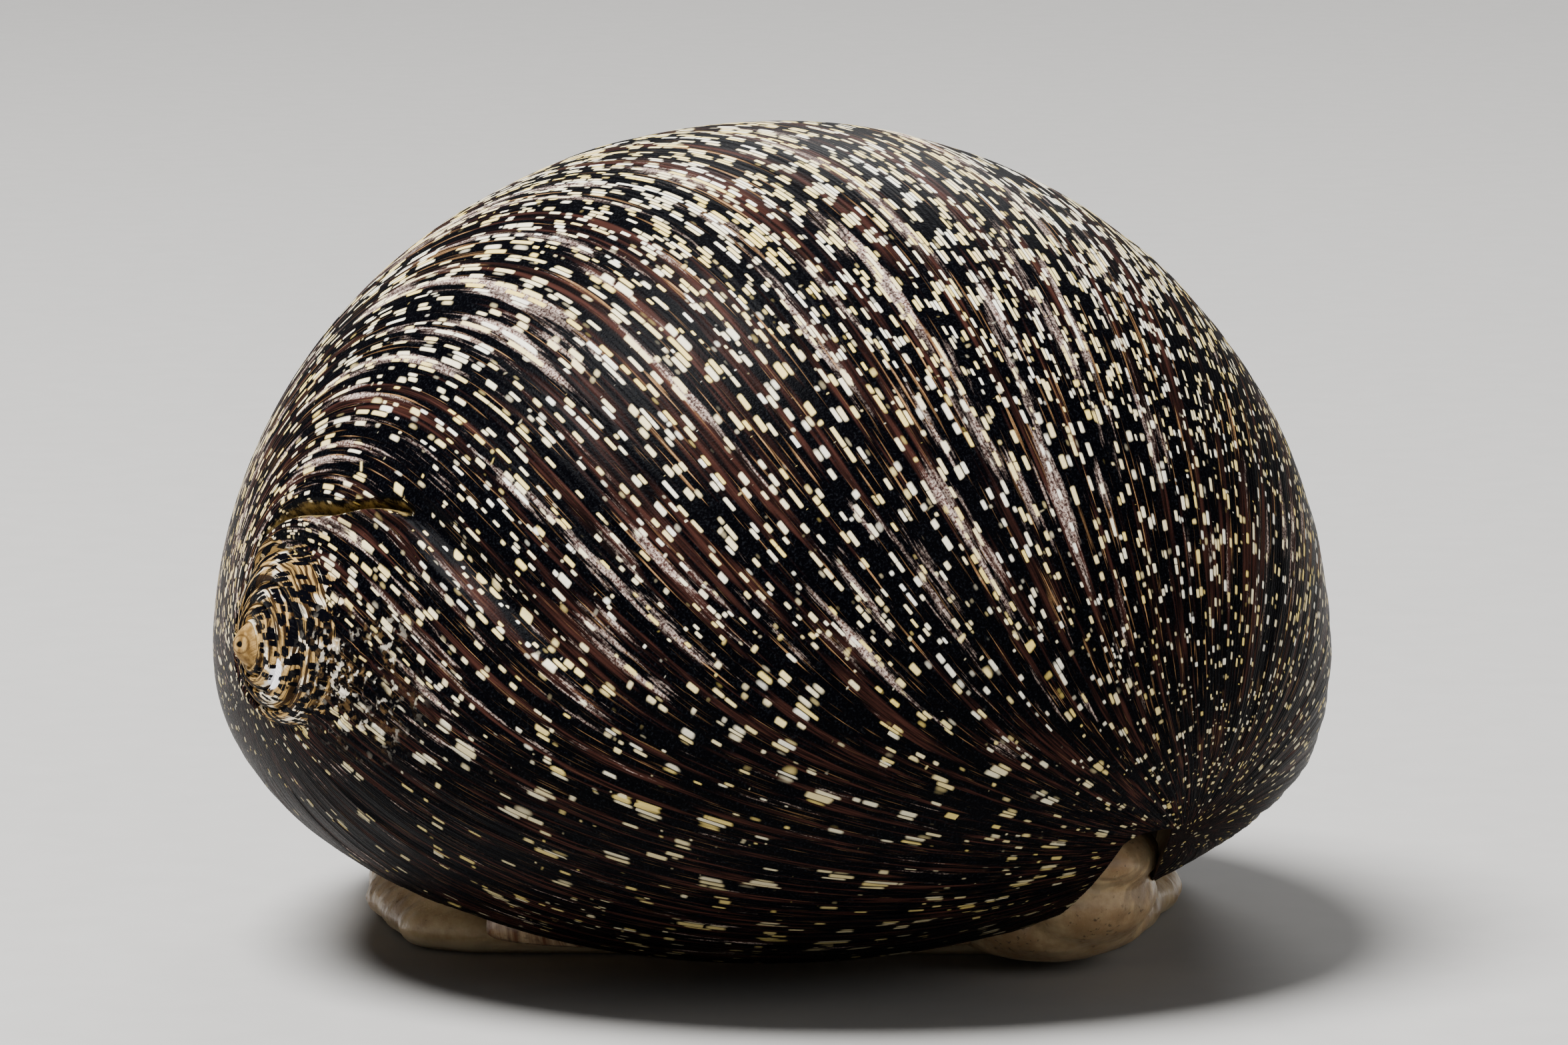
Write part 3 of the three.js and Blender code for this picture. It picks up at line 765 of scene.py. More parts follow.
def aperture_outline(rear, front, inset, z):
    corner = APERTURE_CORNER - inset
    turn, side_turn = [np.linspace(0, math.pi / 2, steps)[1:] for steps in APERTURE_STEPS]
    x = aperture_half_width(np.array(rear + APERTURE_CORNER)) - inset - corner * (1 - np.sin(turn))
    y = rear + inset + corner * (1 - np.cos(turn))
    start = rear + inset + corner
    side_y = start + (front - inset - start) * np.sin(side_turn)
    side_x = np.maximum(LEAST_HALF_WIDTH, aperture_half_width(side_y) - inset)
    x, y = np.concatenate([x, side_x]), np.concatenate([y, side_y])
    x, y = np.concatenate([x, -x[::-1]]), np.concatenate([y, y[::-1]])
    return np.stack([x + CENTRE_X, y - SOLE_MIDDLE_Y, np.full_like(x, z)], axis=-1)


def opening_slab():
    rear, front = APERTURE_REAR, FRONT_LENGTH - WALL
    rows = [aperture_outline(rear, front, 0.0, z) for z in OPENING_LEVELS]
    ends = [(CENTRE_X, (rear + front) / 2 - SOLE_MIDDLE_Y, z) for z in OPENING_LEVELS]
    return solid("opening", ends[0], rows, ends[1], False)


def curve_points(start, control, end, count):
    t = np.linspace(0, 1, count)[:, None]
    start, control, end = map(np.array, (start, control, end))
    return (1 - t) ** 2 * start + 2 * t * (1 - t) * control + t ** 2 * end


def prism(name, profile, rear, length, slope=0.0, lift=0.0):
    """A solid with a profile in X and Z, run along +Y, and falling towards the front."""
    profile = np.asarray(profile)
    rows = []
    for distance in (0.0, length):
        y = distance * math.cos(slope) + profile[:, 1] * math.sin(slope)
        z = profile[:, 1] * math.cos(slope) - distance * math.sin(slope)
        rows.append(np.stack([profile[:, 0], y + rear - SOLE_MIDDLE_Y, z + lift], axis=-1))
    centres = [row.mean(axis=0) for row in rows]
    return solid(name, centres[0], rows, centres[1], False)


def notch_passage():
    edge, crown = curve_points(*NOTCH_EDGE), curve_points(*NOTCH_CROWN)[1:]
    profile = np.concatenate([edge, crown, NOTCH_BELOW])
    lift = (NOTCH_LEVEL_Y - NOTCH_REAR) * math.sin(NOTCH_SLOPE)
    return prism("notch", profile, NOTCH_REAR, NOTCH_LENGTH, NOTCH_SLOPE, lift)


def arch_tunnel():
    turn = np.linspace(0, math.pi, ARCH_STEPS)
    profile = np.stack([ARCH_HALF_WIDTH * np.cos(turn), ARCH_RISE * np.sin(turn)], axis=-1)
    profile = np.concatenate([profile, [(-ARCH_HALF_WIDTH, -SKIRT), (ARCH_HALF_WIDTH, -SKIRT)]])
    return prism("arch", profile, ARCH_START, ARCH_LENGTH, 0.0, RIM_CLEARANCE - OVERLAP)


def inner_egg(name, inset, rings=120, sectors=160):
    rows = egg_rows(ring_places(rings, INNER_PROBES), sectors, inset)
    first, last = egg_point(np.stack([APEX, CONVERGENCE]), inset)
    return solid(name, first, rows, last)


def slab_below(name, z):
    low, high = z - CUTTER_SIZE, z
    corners = [(-CUTTER_SIZE, -CUTTER_SIZE), (CUTTER_SIZE, -CUTTER_SIZE),
               (CUTTER_SIZE, CUTTER_SIZE), (-CUTTER_SIZE, CUTTER_SIZE)]
    rows = [[(x, y, level) for x, y in corners] for level in (low, high)]
    return solid(name, (0, 0, low), rows, (0, 0, high), False)


def cut(piece, tools, operation="DIFFERENCE"):
    """Cuts a piece with each tool in turn, and removes the tools."""
    for tool in tools:
        change = piece.modifiers.new("cut", "BOOLEAN")
        change.operation = operation
        change.solver = "MANIFOLD"
        change.object = tool
        apply_modifiers(piece)
    discard(*tools)


def apply_modifiers(piece):
    bpy.context.view_layer.update()
    graph = bpy.context.evaluated_depsgraph_get()
    made = bpy.data.meshes.new_from_object(piece.evaluated_get(graph), depsgraph=graph)
    old = piece.data
    piece.modifiers.clear()
    piece.data = made
    made.name = piece.name
    bpy.data.meshes.remove(old)


def discard(*objects):
    for thing in objects:
        mesh = thing.data
        bpy.data.objects.remove(thing)
        bpy.data.meshes.remove(mesh)


def join_as_skin(piece, parts, voxel, passes):
    """Joins closed parts to a piece as one smooth skin, and removes them."""
    joined = bmesh.new()
    for part in [piece] + parts:
        joined.from_mesh(part.data)
    joined.to_mesh(piece.data)
    joined.free()
    discard(*parts)
    remesh = piece.modifiers.new("skin", "REMESH")
    remesh.mode = "VOXEL"
    remesh.voxel_size = voxel * MM
    apply_modifiers(piece)
    even = piece.modifiers.new("even", "SMOOTH")
    even.iterations = passes
    even.factor = 0.5
    apply_modifiers(piece)


def srgb(red, green, blue):
    """A colour given as it looks on a screen, from 0 to 255."""
    def linear(value):
        value = value / 255
        return value / 12.92 if value <= 0.04045 else ((value + 0.055) / 1.055) ** 2.4
    return (linear(red), linear(green), linear(blue), 1.0)


class Nodes:
    """A material's nodes, made by short calls that return sockets. Names of noises, streaks,
    ramps, blends and zones stand for the numbers in the tables at the top."""

    def __init__(self, name):
        self.material = bpy.data.materials.new(name)
        self.material.use_nodes = True
        self.tree = self.material.node_tree
        self.shader = self.tree.nodes["Principled BSDF"]

    def _set(self, socket, value):
        if isinstance(value, bpy.types.NodeSocket):
            self.tree.links.new(value, socket)
        else:
            socket.default_value = value

    def add(self, kind, inputs=(), output=0, **settings):
        node = self.tree.nodes.new(kind)
        for key, value in settings.items():
            setattr(node, key, value)
        for key, value in dict(inputs).items():
            self._set(node.inputs[key], value)
        return node.outputs[output]

    def attribute(self, name):
        """The three numbers of a vector attribute."""
        return self.separate(self.add("ShaderNodeAttribute", output="Vector", attribute_name=name))

    def math(self, operation, *values):
        return self.add("ShaderNodeMath", enumerate(values), operation=operation)

    def remap(self, value, low, high, to_low=0.0, to_high=1.0):
        return self.add("ShaderNodeMapRange", {"Value": value, "From Min": low, "From Max": high,
                                               "To Min": to_low, "To Max": to_high},
                        interpolation_type="SMOOTHSTEP")

    def ramp(self, value, name):
        return self.remap(value, *RAMPS[name])

    def vector(self, x, y=0.0, z=0.0):
        return self.add("ShaderNodeCombineXYZ", {"X": x, "Y": y, "Z": z})

    def noise(self, vector, scale=1.0, detail=2.0, roughness=0.5):
        return self.add("ShaderNodeTexNoise", {"Vector": vector, "Scale": scale, "Detail": detail,
                                               "Roughness": roughness})

    def cloud(self, name):
        return self.noise(self.position(), *NOISES[name])

    def streaks(self, name, first, second):
        first_rate, second_rate, seed, detail, roughness = STREAKS[name]
        place = self.vector(self.times(first, first_rate), self.times(second, second_rate), seed)
        return self.noise(place, 1.0, detail, roughness)

    def random(self, value):
        return self.add("ShaderNodeTexWhiteNoise", {"W": value}, noise_dimensions="1D")

    def mix(self, amount, first, second):
        """Mixes two numbers or two colours. A colour may be given as it looks on a screen."""
        node = self.tree.nodes.new("ShaderNodeMix")
        node.data_type = "RGBA"
        for index, value in zip((0, 6, 7), (amount, first, second)):
            self._set(node.inputs[index], srgb(*value) if isinstance(value, tuple) else value)
        return node.outputs[2]

    def blend(self, value, name):
        low, high, first, second = BLENDS[name]
        return self.mix(self.remap(value, low, high), first, second)

    def position(self):
        return self.add("ShaderNodeTexCoord", output="Object")

    def chain(self, operation, values):
        total = values[0]
        for value in values[1:]:
            total = self.math(operation, total, value)
        return total

    def times(self, *values):
        return self.chain("MULTIPLY", values)

    def plus(self, *values):
        return self.chain("ADD", values)

    def minus(self, *values):
        return self.chain("SUBTRACT", values)

    def most(self, *values):
        return self.chain("MAXIMUM", values)

    def rest(self, value):
        """One minus the value."""
        return self.minus(1.0, value)

    def bell(self, value, width):
        """About 1 near 0, falling to 0 away from it."""
        return self.remap(self.math("ABSOLUTE", value), width, 0.0)

    def separate(self, vector):
        return self.add("ShaderNodeSeparateXYZ", {"Vector": vector}).node.outputs[:]

    def distance(self, first, second):
        return self.add("ShaderNodeVectorMath", enumerate((first, second)), output="Value",
                        operation="DISTANCE")

    def near(self, point, outer, inner):
        """Rises from 0 to 1 between two distances from a point, in mm."""
        return self.remap(self.distance(self.position(), in_metres(point)), outer * MM, inner * MM)

    def zone(self, name):
        axes = dict(zip("xyz", self.separate(self.position())))
        return self.times(*[self.remap(axes[axis], outer * MM, inner * MM)
                            for axis, outer, inner in ZONES[name]])

    def by_zone(self, name, zones):
        elsewhere, changes = BY_ZONE[name]
        return self.plus(elsewhere, *[self.times(zones[zone], change) for zone, change in changes.items()])

    def voronoi(self, vector, randomness):
        """Cells with squared-off shapes."""
        return self.add("ShaderNodeTexVoronoi", {"Vector": vector, "Scale": 1.0, "Exponent": 3.0,
                                                 "Randomness": randomness},
                        voronoi_dimensions="2D", distance="MINKOWSKI").node.outputs

    def bump(self, height, depth, strength, normal=None):
        inputs = {"Height": height, "Distance": depth * MM, "Strength": strength}
        if normal is not None:
            inputs["Normal"] = normal
        return self.add("ShaderNodeBump", inputs)

    def finish(self, colour, roughness, normal=None, **fixed):
        self._set(self.shader.inputs["Base Color"], colour)
        self._set(self.shader.inputs["Roughness"], roughness)
        if normal is not None:
            self._set(self.shader.inputs["Normal"], normal)
        for key, value in fixed.items():
            self.shader.inputs[key.replace("_", " ")].default_value = value
        return self.material


def detail_levels(n, rate, size):
    """The two nearest levels of detail and how far one has faded into the other. A level is a
    row of fixed numbers of flecks, so that each fleck measures about the size in mm asked for."""
    wanted = n.math("DIVIDE", n.plus(rate, n.math("LOGARITHM", size, math.e)), -math.log(LEVEL))
    wanted = n.plus(wanted, n.times(n.cloud("level"), LEVEL_BLEND))
    return n.math("FLOOR", wanted), n.ramp(n.math("FRACT", wanted), "level")


def fleck_layer(n, step, down, radius, name, crowd=1.0):
    """Clusters of dashes: each step is one straight dash, and its ends are shifted to and fro."""
    rows, columns, shift, share, seed = LAYERS[name]
    jitter = n.times(n.minus(n.random(n.plus(step, seed)), 0.5), shift)
    place = n.math("DIVIDE", n.plus(down, jitter), columns)
    row = n.plus(n.math("DIVIDE", step, rows), seed)
    cell = n.voronoi(n.vector(place, row), FLECK_RANDOMNESS)
    chances = n.add("ShaderNodeSeparateColor", {"Color": cell["Color"]}).node.outputs
    reach = n.times(radius, n.plus(FLECK_LEAST, n.times(chances[0], FLECK_VARIETY)))
    reach = n.minus(reach, n.math("GREATER_THAN", chances[1], n.times(crowd, share)))
    return n.remap(n.minus(reach, cell["Distance"]), -FLECK_EDGE, FLECK_EDGE)


def fleck_field(n, lines, level, weight, radius, big, crowd):
    """Flecks of one level of detail; they shrink away as the weight falls. Gives where they are,
    a random number for each step, and how far across its step a place is."""
    across, along, lean = lines
    many = n.math("POWER", LEVEL, level)
    wobble = n.times(n.streaks("wobble", along, across), WOBBLE)
    line = n.plus(n.times(across, many), wobble, n.times(level, LEVEL_SHIFT))
    inside = n.math("FRACT", line)
    step = n.math("FLOOR", line)
    down = n.minus(n.times(along, many), n.times(lean, n.minus(inside, 0.5)))
    round_off = n.math("POWER", n.minus(n.times(inside, 2.0), 1.0), 2.0)
    reach = n.minus(n.times(radius, n.math("SQRT", weight)), n.times(round_off, ROUND_OFF))
    large = n.minus(reach, n.times(n.rest(big), LARGE_ELSEWHERE))
    small = n.minus(reach, n.times(big, SMALL_AMONG_LARGE))
    single = n.minus(reach, SINGLE_SMALLER)
    mark = n.most(*[fleck_layer(n, step, down, layer_reach, name, crowd)
                    for name, layer_reach in (("large", large), ("small", small), ("single", single))])
    gap = n.times(n.ramp(inside, "gap_before"), n.ramp(inside, "gap_after"))
    return n.times(mark, gap), n.random(n.plus(step, TONE_SEED)), inside


def shell_zones(n, lines):
    zones = {name: n.zone(name) for name in ("top", "left", "right", "low", "low_left", "bottom", "large")}
    zones["spire"] = n.near(egg_point(APEX[None])[0], *SPIRE_REACH)
    zones["pole"] = n.near(POLE, *POLE_REACH)
    zones["bright"] = n.most(zones["top"], zones["left"])
    zones["sparse"] = n.most(zones["low"], zones["pole"])
    zones["patch"] = n.minus(n.streaks("patches", *lines[:2]), 0.5)
    zones["lilac"] = n.ramp(n.plus(n.streaks("pale", *lines[:2]), n.by_zone("lilac", zones)), "lilac")
    return zones


def shell_flecks(n, lines, rate, zones):
    """Flecks in two levels of detail, one fading into the other."""
    size = n.times(FLECK_SIZE, *[n.rest(n.times(zones[name], share))
                                 for name, share in FLECK_SHRINKING.items()])
    first, fade = detail_levels(n, rate, size)
    radius, crowd = n.by_zone("radius", zones), n.by_zone("crowd", zones)
    big = n.times(zones["large"], n.ramp(zones["right"], "not_right"), n.ramp(zones["left"], "not_left"))
    here, tone, inside = fleck_field(n, lines, first, n.rest(fade), radius, big, crowd)
    finer, finer_tone, _ = fleck_field(n, lines, n.plus(first, 1.0), fade, radius, big, crowd)
    tone = n.mix(n.math("GREATER_THAN", finer, here), tone, finer_tone)
    return n.most(here, finer), tone, inside


def shell_ground(n, lines, grain, zones):
    """The shell between the flecks: black and brown bands, gold threads and dusty lilac streaks."""
    band, fine, thread = [n.streaks(name, *lines[:2]) for name in ("bands", "fine", "threads")]
    ground = n.mix(n.ramp(band, "bands"), n.blend(grain, "black"), n.blend(fine, "brown"))
    border = n.bell(n.minus(band, BAND_BORDER), BAND_BORDER_WIDTH)
    threads = n.times(n.ramp(thread, "threads"), n.plus(border, n.by_zone("threads", zones)),
                      n.by_zone("thread_strength", zones))
    ground = n.mix(threads, ground, n.mix(grain, *GOLDS))
    dust = n.times(zones["lilac"], n.ramp(fine, "lilac_grain"))
    return n.mix(dust, ground, n.blend(grain, "dust"))


def first_whorls(n):
    """Fine gold rings with black blotches and white patches, and a smooth cap with a dark pit."""
    ring, ring_x, ring_y = n.attribute("rings")
    turn = n.math("ARCTAN2", ring_y, ring_x)
    radial = n.plus(ring, n.times(n.minus(n.cloud("ring_wave"), 0.5), RING_WAVE))
    hoop = n.math("FLOOR", n.math("DIVIDE", radial, HOOP))
    round_way = n.times(turn, n.plus(ring, BLOTCH_OFFSET), 1 / BLOTCH_STEP)
    arcs = n.streaks("arcs", radial, turn)
    clouds = n.ramp(n.streaks("clouds", round_way, radial), "clouds")
    sand = n.mix(n.times(clouds, n.ramp(arcs, "cloud_arcs")), n.blend(arcs, "sand"), SAND_PALE)
    white = n.times(n.bell(n.minus(ring, WHITE_RING), WHITE_WIDTH),
                    n.bell(n.minus(turn, WHITE_TURN), WHITE_LENGTH))
    sand = n.mix(n.ramp(n.plus(white, n.times(arcs, WHITE_RAGGED)), "white"), sand, WHORL_WHITE)
    size = n.plus(BLOTCH_SIZE, n.times(n.ramp(ring, "blotch_rings"), BLOTCH_GROWTH),
                  n.times(white, BLOTCH_ON_WHITE))
    blotch = n.most(fleck_layer(n, hoop, round_way, size, "blotches"),
                    fleck_layer(n, hoop, round_way, n.minus(size, SPOT_SMALLER), "spots"))
    bare = n.rest(n.times(n.ramp(arcs, "arcs_over"), ARCS_OVER))
    whorl = n.mix(n.times(blotch, n.ramp(ring, "blotch_start"), bare), sand, WHORL_BLACK)

    radius, angle = [float(value[0]) for value in ring_field(np.array([APEX_DOT]))]
    dot = [radius * math.cos(angle) * MAP_SCALE, radius * math.sin(angle) * MAP_SCALE, 0.0]
    from_dot = n.distance(n.vector(n.times(ring, ring_x), n.times(ring, ring_y)), dot)
    seam = n.times(n.bell(n.minus(from_dot, CAP_RING), CAP_RING_WIDTH), CAP_RING_STRENGTH)
    cap = n.mix(seam, n.blend(n.cloud("cap"), "cap"), CAP_SEAM)
    return n.mix(n.ramp(from_dot, "dot"), n.mix(n.ramp(ring, "cap"), whorl, cap), DOT_BLACK)


def wear_dirt_and_crevice_shade(n, colour, crevice):
    """Adds the worn patch beside the spire, and dark olive in the crevice: dirt with painted shade."""
    place = egg_point(direction_of(np.array([MESS_PLACE])))[0]
    worn = n.cloud("worn")
    grime = n.mix(n.ramp(n.cloud("chips"), "chips"), n.blend(worn, "grime"), CHIP_WHITE)
    mess = n.times(n.near(place, MESS_REACH, 0.0), n.ramp(n.cloud("worn_places"), "worn_places"),
                   MESS_STRENGTH)
    colour = n.mix(mess, colour, grime)
    # dark olive in the crevice: dirt with painted shade under the overhang
    ragged = n.plus(crevice, n.times(n.minus(worn, 0.5), CREVICE_DIRT_AND_SHADE_RAGGED))
    return n.mix(n.ramp(ragged, "crevice_dirt_and_shade"), colour, n.blend(worn, "crevice_dirt_and_shade"))


def shell_material():
    n = Nodes("shell_flecked")
    lines = n.attribute("lines")
    rate, edge, crevice = n.attribute("zones")
    grain = n.cloud("grain")
    zones = shell_zones(n, lines)
    fleck, tone, inside = shell_flecks(n, lines, rate, zones)
    cream = n.mix(tone, *CREAMS)
    # the low and bottom zones dim the flecks as painted shade; the left zone tints them
    for name, strength, colour in FLECK_TINTS_AND_PAINTED_SHADE:
        cream = n.mix(n.times(zones[name], strength), cream, colour)
    colour = n.mix(fleck, shell_ground(n, lines, grain, zones), cream)
    ragged = n.plus(edge, n.times(n.minus(n.cloud("spire_edge"), 0.5), EDGE_RAGGED))
    colour = n.mix(n.ramp(ragged, "spire"), colour, first_whorls(n))
    colour = wear_dirt_and_crevice_shade(n, colour, crevice)
    rib = n.times(n.ramp(inside, "rib_before"), n.ramp(inside, "rib_after"))
    bump = n.bump(grain, *BUMPS["grain"], n.bump(rib, *BUMPS["rib"]))
    return n.finish(colour, n.ramp(grain, "shell_gloss"), bump, Specular_IOR_Level=0.015)


def plain_material(name):
    first, second, scale, roughness, depth = PLAIN[name]
    n = Nodes(name)
    mottle = n.noise(n.position(), scale, *MOTTLE_DETAIL)
    fine = n.noise(n.position(), scale * FINER, *FINE_DETAIL)
    colour = n.mix(n.remap(mottle, *MOTTLING), first, second)
    gloss = n.remap(fine, *GLOSS_SPAN, roughness - GLOSS_RANGE, roughness + GLOSS_RANGE)
    return n.finish(colour, gloss, n.bump(fine, depth, GRAIN_STRENGTH))


def give(piece, *materials):
    piece.data.materials.clear()
    for material in materials:
        piece.data.materials.append(material)
    return piece


def make_shell(outer_material, inner_material, rim_material):
    shell = give(make_shell_surface(), outer_material, inner_material, rim_material)
    cavity = give(inner_egg("cavity", WALL), inner_material)
    openings = [opening_slab(), notch_passage(), arch_tunnel(), slab_below("under", RIM_CLEARANCE)]
    # the cut faces take the dark lip colour, partly painted shade
    cut(shell, [cavity] + [give(opening, rim_material) for opening in openings])
    return shell


def ball(name, centre, half, across=48, down=32):
    tilt = np.linspace(0, np.pi, down + 1)[1:-1]
    rows = round_rows(np.sin(tilt), np.cos(tilt), across) * np.array(half) + np.array(centre)
    up = np.array([0, 0, half[2]])
    return solid(name, centre + up, rows, centre - up)


def cad_box(node):
    low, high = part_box(node)
    return np.array(low) / MM, np.array(high) / MM


def tube(name, centres, radii, across=24):
    centres = np.asarray(centres, float)
    ahead = np.gradient(centres, axis=0)
    ahead /= np.linalg.norm(ahead, axis=1, keepdims=True)
    side = np.cross(ahead, [0, 0, 1.0])
    side /= np.linalg.norm(side, axis=1, keepdims=True)
    up = np.cross(side, ahead)
    turn = turns_of(across)
    rows = (centres[:, None] + radii[:, None, None]
            * (np.cos(turn)[None, :, None] * side[:, None] + np.sin(turn)[None, :, None] * up[:, None]))
    return solid(name, centres[0], rows, centres[-1])


def foot_mass():
    """The foot: a broad flat sole with a thin rippled edge, and a narrower stalk above it."""
    middle = np.array([CENTRE_X, FOOT_MIDDLE_Y, 0.0])
    rows = []
    for z, inset in FOOT_LEVELS:
        row = aperture_outline(FOOT_REAR, FOOT_FRONT, inset, z)
        turn = np.arctan2(row[:, 1] - middle[1], row[:, 0] - middle[0])
        ripple = sum(share * np.sin(waves * turn + start) for share, waves, start in FOOT_RIPPLES)
        fade = max(0.0, 1 - z)
        scale = 1 - FOOT_DRAWN_IN * fade + fade * ripple
        row[:, :2] = middle[:2] + (row[:, :2] - middle[:2]) * scale[:, None]
        rows.append(row)
    return solid("foot_mass", middle, rows, middle + (0, 0, FOOT_LEVELS[-1][0]))


def feeler(side):
    start, middle, end = np.array(FEELER_LINE) * (side, 1, 1)
    line = curve_points(start, 2 * middle - (start + end) / 2, end, FEELER_STEPS)
    place = np.linspace(0, 1, FEELER_STEPS)
    radii = np.linspace(*FEELER_RADII, FEELER_STEPS) + FEELER_RING_DEPTH * np.sin(place * FEELER_RINGS)
    radii[-len(FEELER_TIP):] *= np.sqrt(1 - np.array(FEELER_TIP))
    return tube(f"feeler_{side}", line, radii)


def eye_stalk(side):
    root, tip = np.array(STALK_LINE) * (side, 1, 1)
    line = np.linspace(root, tip, STALK_STEPS)
    return tube(f"stalk_{side}", line, np.linspace(*STALK_RADII, STALK_STEPS))


def wrinkle(skin):
    """Folds and grain in the skin, across the body more than along it."""
    places = np.empty(len(skin.data.vertices) * 3)
    skin.data.vertices.foreach_get("co", places)
    normals = np.empty_like(places)
    skin.data.vertex_normals.foreach_get("vector", normals)
    places, normals = places.reshape(-1, 3) / MM, normals.reshape(-1, 3)
    folds = [noise.noise(Vector(p)) + 0.5 * noise.noise(Vector(p * FOLD_FINER))
             for p in places * np.array(FOLD_RATES)]
    soft = smooth_step(places[:, 2] / FOLD_START)
    places += normals * (FOLD_DEPTH * soft * np.array(folds))[:, None]
    places[:, 2] = np.maximum(places[:, 2], 0.0)
    skin.data.vertices.foreach_set("co", (places * MM).ravel())
    skin.data.update()


def make_flesh(material):
    """One skin for mantle, foot, head, snout, feelers and eye stalks."""
    skin = inner_egg("flesh", WALL + MANTLE_GAP, *MANTLE_GRID)
    cut(skin, [slab_below("below_mantle", MANTLE_FLOOR)])
    parts = [foot_mass()] + [ball(*lump) for lump in LUMPS]
    for side in (-1, 1):
        parts += [ball(name, (x * side, y, z), half) for name, (x, y, z), half in PAIRED_LUMPS]
        parts += [feeler(side), eye_stalk(side)]
    join_as_skin(skin, parts, FLESH_VOXEL, FLESH_PASSES)
    wrinkle(skin)
    skin.data.shade_smooth()
    return give(skin, material)


def flesh_material():
    n = Nodes("flesh_skin")
    place = n.separate(n.position())
    mottle, fine = n.cloud("skin"), n.cloud("skin_grain")
    stretched = n.vector(*[n.times(axis, rate) for axis, rate in zip(place, STRIPE_RATES)])
    stripes = n.ramp(n.noise(stretched, 1.0, *FINE_DETAIL), "stripes")
    ink = n.times(stripes, n.zone("back"), n.by_zone("stripes", {"head": n.zone("head")}))
    colour = n.mix(ink, n.blend(mottle, "skin"), STRIPE_INK)
    specks = n.times(n.ramp(fine, "specks"), n.ramp(mottle, "speck_places"), SPECK_STRENGTH)
    colour = n.mix(specks, colour, SPECK_INK)
    colour = n.mix(n.times(n.zone("sole"), SOLE_STRENGTH), colour, SOLE_PALE)
    return n.finish(colour, n.ramp(fine, "skin_gloss"), n.bump(fine, *BUMPS["skin"]),
                    Subsurface_Weight=0.12, Subsurface_Scale=0.0005, Specular_IOR_Level=0.35)


def make_eyes(material):
    eyes = []
    for name in ("eye_left", "eye_right"):
        low, high = cad_box(name)
        radius = (high - low).max() / 2
        eye = give(ball(name + "_ball", (low + high) / 2, (radius,) * 3), material)
        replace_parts(eye, name)
        eyes.append(eye)
    return eyes


def make_operculum(material):
    """A half-moon plate, straight along its lower edge and thicker in the middle."""
    low, high = cad_box("operculum")
    middle, half = (low + high) / 2, (high - low) / 2
    turn = turns_of(PLATE_STEPS)
    sideways, lower, upper = PLATE_POWERS
    round_x = signed_power(np.cos(turn), sideways)
    round_z = np.where(np.sin(turn) < 0, -PLATE_FLATNESS * np.abs(np.sin(turn)) ** lower,
                       np.abs(np.sin(turn)) ** upper)
    rows = []
    for size, face in PLATE_LEVELS:
        x = middle[0] + half[0] * round_x * size
        up = round_z * size + PLATE_FLATNESS * (1 - size)
        z = low[2] + 2 * half[2] * (PLATE_FOOT + (1 - PLATE_FOOT) * up)
        rows.append(np.stack([x, np.full_like(x, middle[1] + half[1] * face), z], axis=-1))
    ends = [row.mean(axis=0) for row in (rows[0], rows[-1])]
    plate = give(solid("operculum_plate", ends[0], rows, ends[1]), material)
    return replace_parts(plate, "operculum")


def operculum_material():
    n = Nodes("operculum_horn")
    nucleus = in_metres(cad_box("operculum")[0] + PLATE_NUCLEUS)
    away = n.plus(n.distance(n.position(), nucleus), n.times(n.cloud("plate_wave"), PLATE_WAVE * MM))
    rings = n.noise(n.vector(n.times(away, PLATE_RING_RATE)), 1.0, *FINE_DETAIL)
    grain = n.cloud("plate_grain")
    specks = n.times(n.ramp(grain, "plate_specks"), HORN_DARK_STRENGTH)
    colour = n.mix(specks, n.blend(rings, "horn"), HORN_DARK)
    bump = n.bump(grain, *BUMPS["plate_grain"], n.bump(rings, *BUMPS["plate_rings"]))
    return n.finish(colour, n.ramp(grain, "plate_gloss"), bump)


def make_deck(material):
    """The shelf inside the rear of the opening, with small teeth along its free edge."""
    low, high = DECK_LOW, DECK_HIGH
    along, around = DECK_GRID
    turn = turns_of(around)
    y, z = [signed_power(wave, DECK_ROUNDNESS) for wave in (np.cos(turn), np.sin(turn))]
    shelf = []
    for place in np.linspace(0, 1, along):
        x = low[0] + (high[0] - low[0]) * place
        depth = high[1] - DECK_EDGE - DECK_HOLLOW * math.sin(math.pi * place) - low[1]
        thick = max((1 - abs(2 * place - 1) ** DECK_END_POWER) ** 0.5, DECK_END_LEAST)
        shelf.append(np.stack([np.full_like(turn, x), low[1] + depth * (0.5 + 0.5 * y),
                               (low[2] + high[2]) / 2 + (high[2] - low[2]) / 2 * z * thick], axis=-1))
    deck = solid("deck", shelf[0].mean(axis=0), shelf, shelf[-1].mean(axis=0))
    teeth = [ball("tooth", centre, TOOTH_HALF, *TOOTH_GRID) for centre in TEETH]
    join_as_skin(deck, teeth, DECK_VOXEL, DECK_PASSES)
    cut(deck, [inner_egg("hull", WALL - DECK_IN_WALL)], "INTERSECT")
    deck.data.shade_smooth()
    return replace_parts(give(deck, material), "shell_columella_deck")


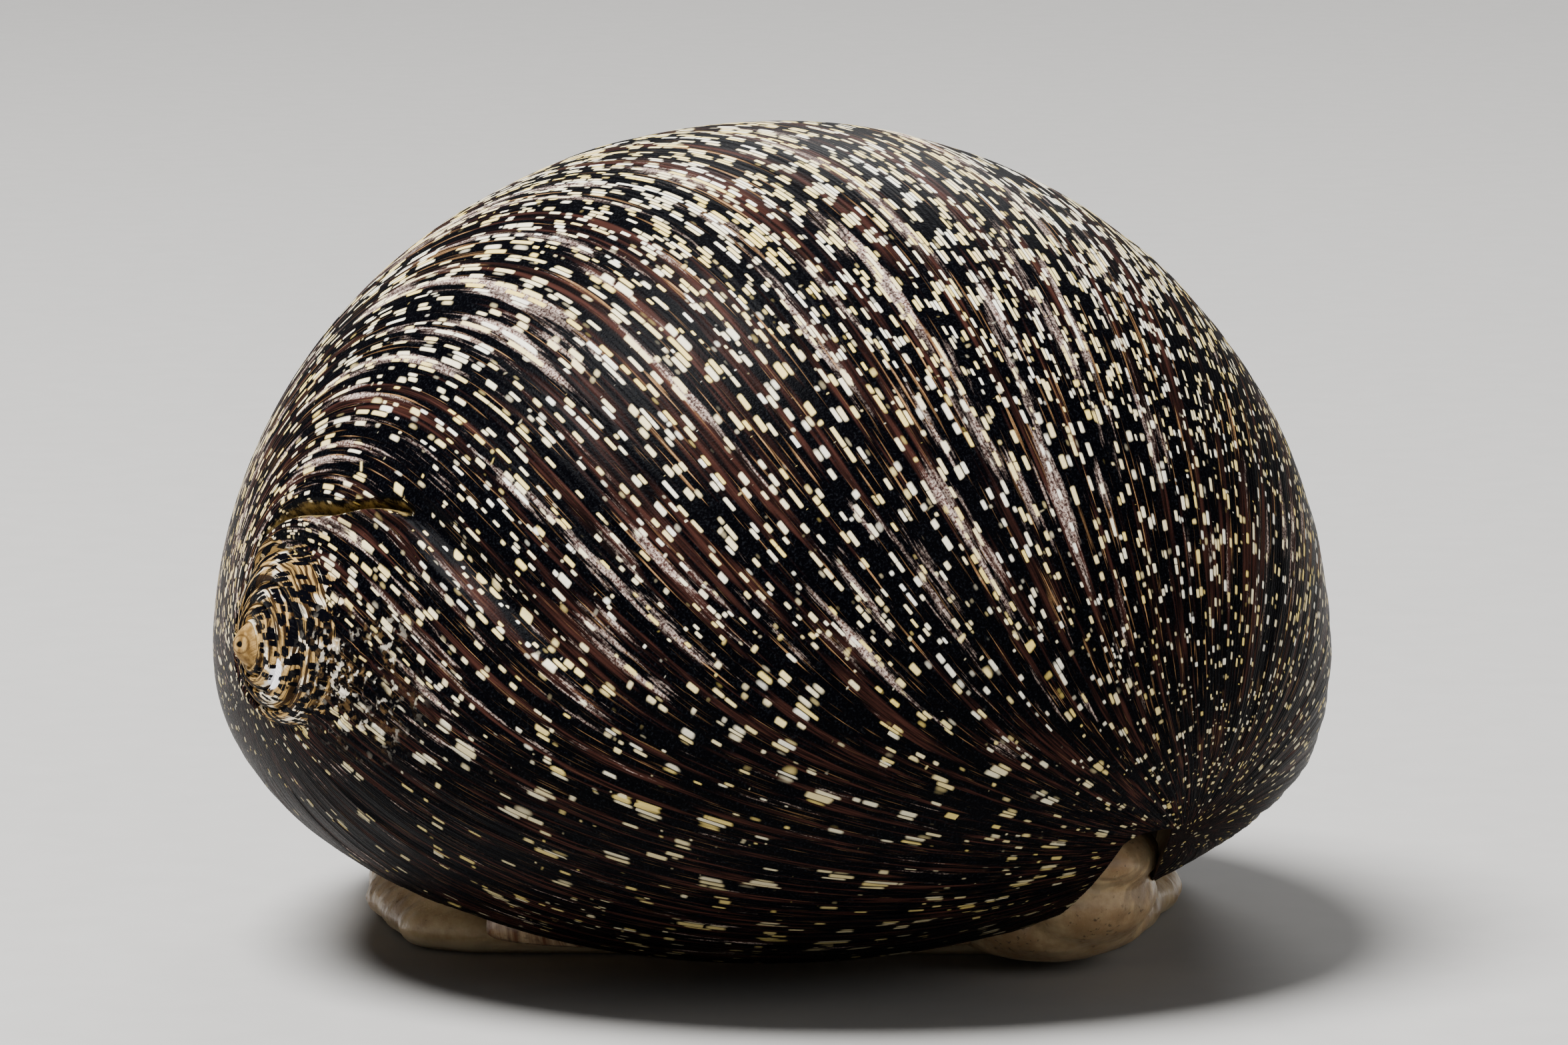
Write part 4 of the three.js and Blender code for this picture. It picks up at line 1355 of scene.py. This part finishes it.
def make_stage():
    """A round floor of paper that curves up into a wall."""
    bend = np.linspace(0, math.pi / 2, STAGE_BEND_STEPS)[1:]
    flat = np.linspace(*STAGE_FLAT)
    radii = np.concatenate([flat, flat[-1] + STAGE_BEND * np.sin(bend), [flat[-1] + STAGE_BEND]])
    lift = np.concatenate([np.zeros_like(flat), STAGE_BEND * (1 - np.cos(bend)), [STAGE_TOP]])
    points, faces = closed_rows((0, 0, 0), round_rows(radii, lift, STAGE_AROUND), (0, 0, STAGE_TOP))
    floor = mesh_object("floor", points[:-1], faces[:-STAGE_AROUND])
    n = Nodes("floor_paper")
    give(floor, n.finish(n.mix(n.cloud("paper"), *PAPERS), PAPER_ROUGHNESS))


def aim(name, data, place, target):
    """Puts a light or a camera at a place, turned towards a target."""
    made = bpy.data.objects.new(name, data)
    made.location = place * MM
    made.rotation_euler = (target - place).to_track_quat("-Z", "Y").to_euler()
    bpy.context.collection.objects.link(made)
    return made


def make_lights():
    for name, place, size, power in LIGHTS:
        data = bpy.data.lights.new(name, "AREA")
        data.shape = "DISK"
        data.size = size * MM
        data.energy = power
        aim(name, data, Vector(place), Vector(LIGHT_TARGET))
    world = bpy.data.worlds.new("studio")
    bpy.context.scene.world = world
    world.use_nodes = True
    background = world.node_tree.nodes["Background"]
    background.inputs["Color"].default_value = SKY
    background.inputs["Strength"].default_value = SKY_STRENGTH


def make_camera():
    data = bpy.data.cameras.new("camera")
    data.sensor_width = SENSOR
    data.lens = SENSOR * VIEW_DISTANCE / FRAME_WIDTH
    data.clip_start, data.clip_end = VIEW_CLIP
    ahead = Vector((0, math.cos(VIEW_ELEVATION), -math.sin(VIEW_ELEVATION)))
    target = Vector((0, -SOLE_MIDDLE_Y, VIEW_HEIGHT))
    bpy.context.scene.camera = aim("camera", data, target - ahead * VIEW_DISTANCE, target)


make_camera()
make_stage()
make_lights()

flecked = shell_material()
callus = plain_material("deck_callus")
horn = operculum_material()
skin_material = flesh_material()
eye_black = plain_material("eye_black")

porcelain = plain_material("shell_inside")
# dark lip colour for the cut faces, partly painted shade
lip = plain_material("shell_lip_and_shade")
shell = make_shell(flecked, porcelain, lip)
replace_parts(shell, "shell_body_whorl", "shell_outer_lip", "shell_penultimate_whorl", "shell_apex")
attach(shell, "root")

deck = make_deck(callus)
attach(deck, "root")

flesh = make_flesh(skin_material)
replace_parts(flesh, "mantle", "mantle_fold", "foot", "head", "snout", "tentacle_left_base",
            "tentacle_left_tip", "tentacle_right_base", "tentacle_right_tip",
            "eye_stalk_left", "eye_stalk_right")
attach(flesh, "root")

for eye in make_eyes(eye_black):
    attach(eye, "root")

operculum = make_operculum(horn)
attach(operculum, "root")
